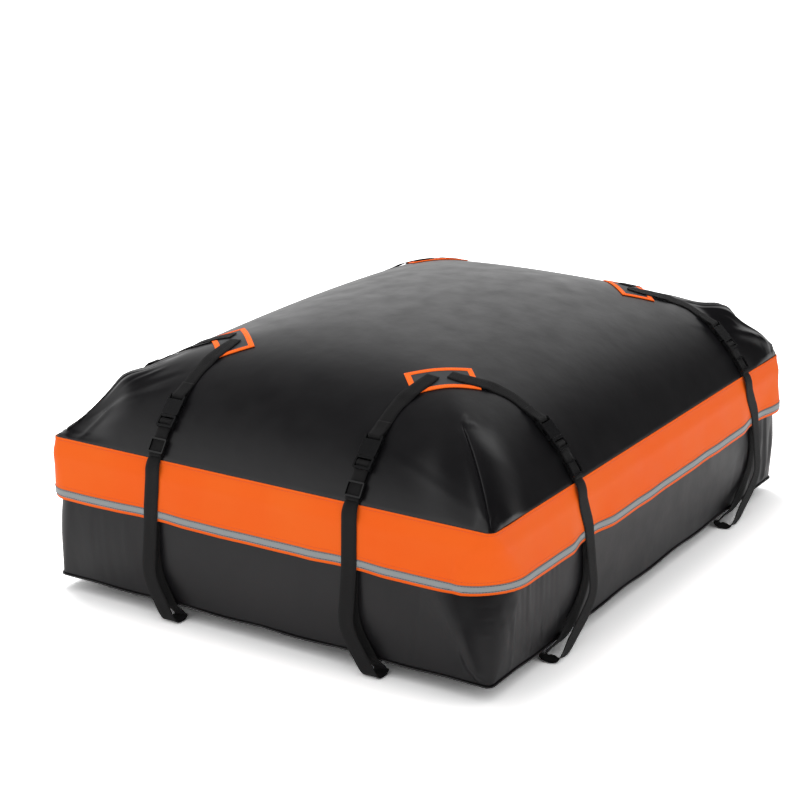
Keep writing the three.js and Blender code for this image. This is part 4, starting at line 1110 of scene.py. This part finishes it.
def build_zip():
    """Two tapes with the coil between them, which is parted along the slider's run for its post."""
    middle, half = (TUB_TOP + LID_EDGE) / 2, (LID_EDGE - TUB_TOP) / 2 - TOUCH
    face, back = [outline(offset, corner_radii(middle))[0] for offset in (ZIP_FACE, ZIP_BACK)]
    count = len(face)
    points, faces = [], []
    for low, high in ((SLIT_HALF, half), (-half, -SLIT_HALF)):
        first = len(points)
        for plan, z in ((face, high), (back, high), (back, low), (face, low)):
            points += [(x, y, middle + z) for x, y in plan]
        faces += flipped(ring_faces(4, count, first, closed=True))
    # The closed coil runs on round the bag, outside the slider's run on the front end
    kept = [i for i in range(count) if not (face[i][1] < 0.1 - LENGTH / 2 and abs(face[i][0]) < PARTED)]
    gap = next(k for k in range(len(kept)) if kept[k] - kept[k - 1] not in (1, 1 - count))
    kept = kept[gap:] + kept[:gap]
    first, size = len(points), len(kept)
    for plan, z in ((face, COIL_HALF), (back, COIL_HALF), (back, -COIL_HALF), (face, -COIL_HALF)):
        points += [(plan[i][0], plan[i][1], middle + z) for i in kept]
    for r in range(4):
        a, b = first + r * size, first + (r + 1) % 4 * size
        faces += [(a + i, a + i + 1, b + i + 1, b + i) for i in range(size - 1)]
    faces.append(tuple(first + r * size for r in range(4)))
    faces.append(tuple(first + r * size + size - 1 for r in reversed(range(4))))
    return make_mesh("zip_coil_band", points, faces, ZIP_COIL, smooth_faces=False)


coil = build_zip()
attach(coil, "bag")
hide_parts("zip_chain")
for node in ("zip_slider", "zip_pull"):
    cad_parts[node].data.materials.clear()
    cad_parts[node].data.materials.append(ZINC)


# ---- Stage: floor, light and camera ----

FLOOR_HALF = 9.0
# How the room that shiny faces see darkens upwards and to the right: the span of the ray's
# direction over which it does, and the light that is left there
OVERHEAD, OVERHEAD_LIGHT = (0.42, 0.82), 0.08
RIGHTWARDS, RIGHT_LIGHT = (-0.1, 0.32), 0.03
ROOM_LIGHT = 0.8

floor_points = [(x * FLOOR_HALF, y * FLOOR_HALF, 0) for x, y in ((-1, -1), (1, -1), (1, 1), (-1, 1))]
floor = make_mesh("floor", floor_points, [(0, 1, 2, 3)], bpy.data.materials.new("white_floor"))
paint = floor.data.materials[0]
paint.use_nodes = True
tree = paint.node_tree
tree.nodes.clear()
# White painted floor. The camera sees it brighter than it lights the bag, so only the shadow shows.
rays = add(tree, "LightPath").outputs
shown = add(tree, "Math", {0: rays["Is Camera Ray"], 1: 0.8, 2: 0.9}, operation="MULTIPLY_ADD")
white = add(tree, "CombineColor", {"Red": shown, "Green": shown, "Blue": shown})
matt = add(tree, "BsdfDiffuse", {"Color": white})
add(tree, "OutputMaterial", {"Surface": matt})

world = bpy.data.worlds.new("studio")
scene.world = world
world.use_nodes = True
tree = world.node_tree
tree.nodes.clear()
rays = add(tree, "LightPath").outputs
seen = add(tree, "Math", {0: rays["Is Camera Ray"], 1: rays["Is Transmission Ray"]}, operation="MAXIMUM")
# Shiny faces see the bright end of the room behind the bag, which darkens overhead and to the right
way = add(tree, "SeparateXYZ", {"Vector": add(tree, "TexCoord")}).outputs
horizon, left_end = [
    add(tree, "MapRange", {"Value": way[axis], "From Min": span[0], "From Max": span[1], "To Min": 1.0,
                           "To Max": rest}, interpolation_type="SMOOTHSTEP")
    for axis, span, rest in (("Z", OVERHEAD, OVERHEAD_LIGHT), ("X", RIGHTWARDS, RIGHT_LIGHT))]
room = add(tree, "Math", {0: horizon, 1: left_end}, operation="MULTIPLY")
glossy = add(tree, "Math", {0: rays["Is Glossy Ray"], 1: room}, operation="MULTIPLY")
bright = add(tree, "Math", {0: seen, 1: glossy}, operation="MAXIMUM")
either = add(tree, "Math", {0: seen, 1: rays["Is Glossy Ray"]}, operation="MAXIMUM")
plain = add(tree, "Math", {0: 1.0, 1: either}, operation="SUBTRACT")
level = add(tree, "Math", {0: plain, 1: ROOM_LIGHT, 2: bright}, operation="MULTIPLY_ADD")
backdrop = add(tree, "Background", {"Color": (1, 1, 1, 1), "Strength": level})
add(tree, "OutputWorld", {"Surface": backdrop})


def aim(obj, place, target):
    obj.location = place
    obj.rotation_euler = (Vector(target) - Vector(place)).to_track_quat("-Z", "Y").to_euler()
    scene.collection.objects.link(obj)


light = bpy.data.lights.new("key_softbox", "AREA")
light.shape = "RECTANGLE"
light.size, light.size_y = 2.0, 2.0
light.energy = 74
lamp = bpy.data.objects.new("key_softbox", light)
lamp.visible_glossy = False
aim(lamp, (-0.9, 0.5, 3.0), (0, 0, 0.2))

# The camera was fitted to the photograph
camera = bpy.data.objects.new("photo_camera", bpy.data.cameras.new("photo_camera"))
camera.data.lens = 90
camera.data.sensor_width = 36
aim(camera, (1.7874, -2.9826, 1.3812), (-0.204, 0.192, 0.178))
scene.camera = camera
scene.view_settings.view_transform = "Standard"
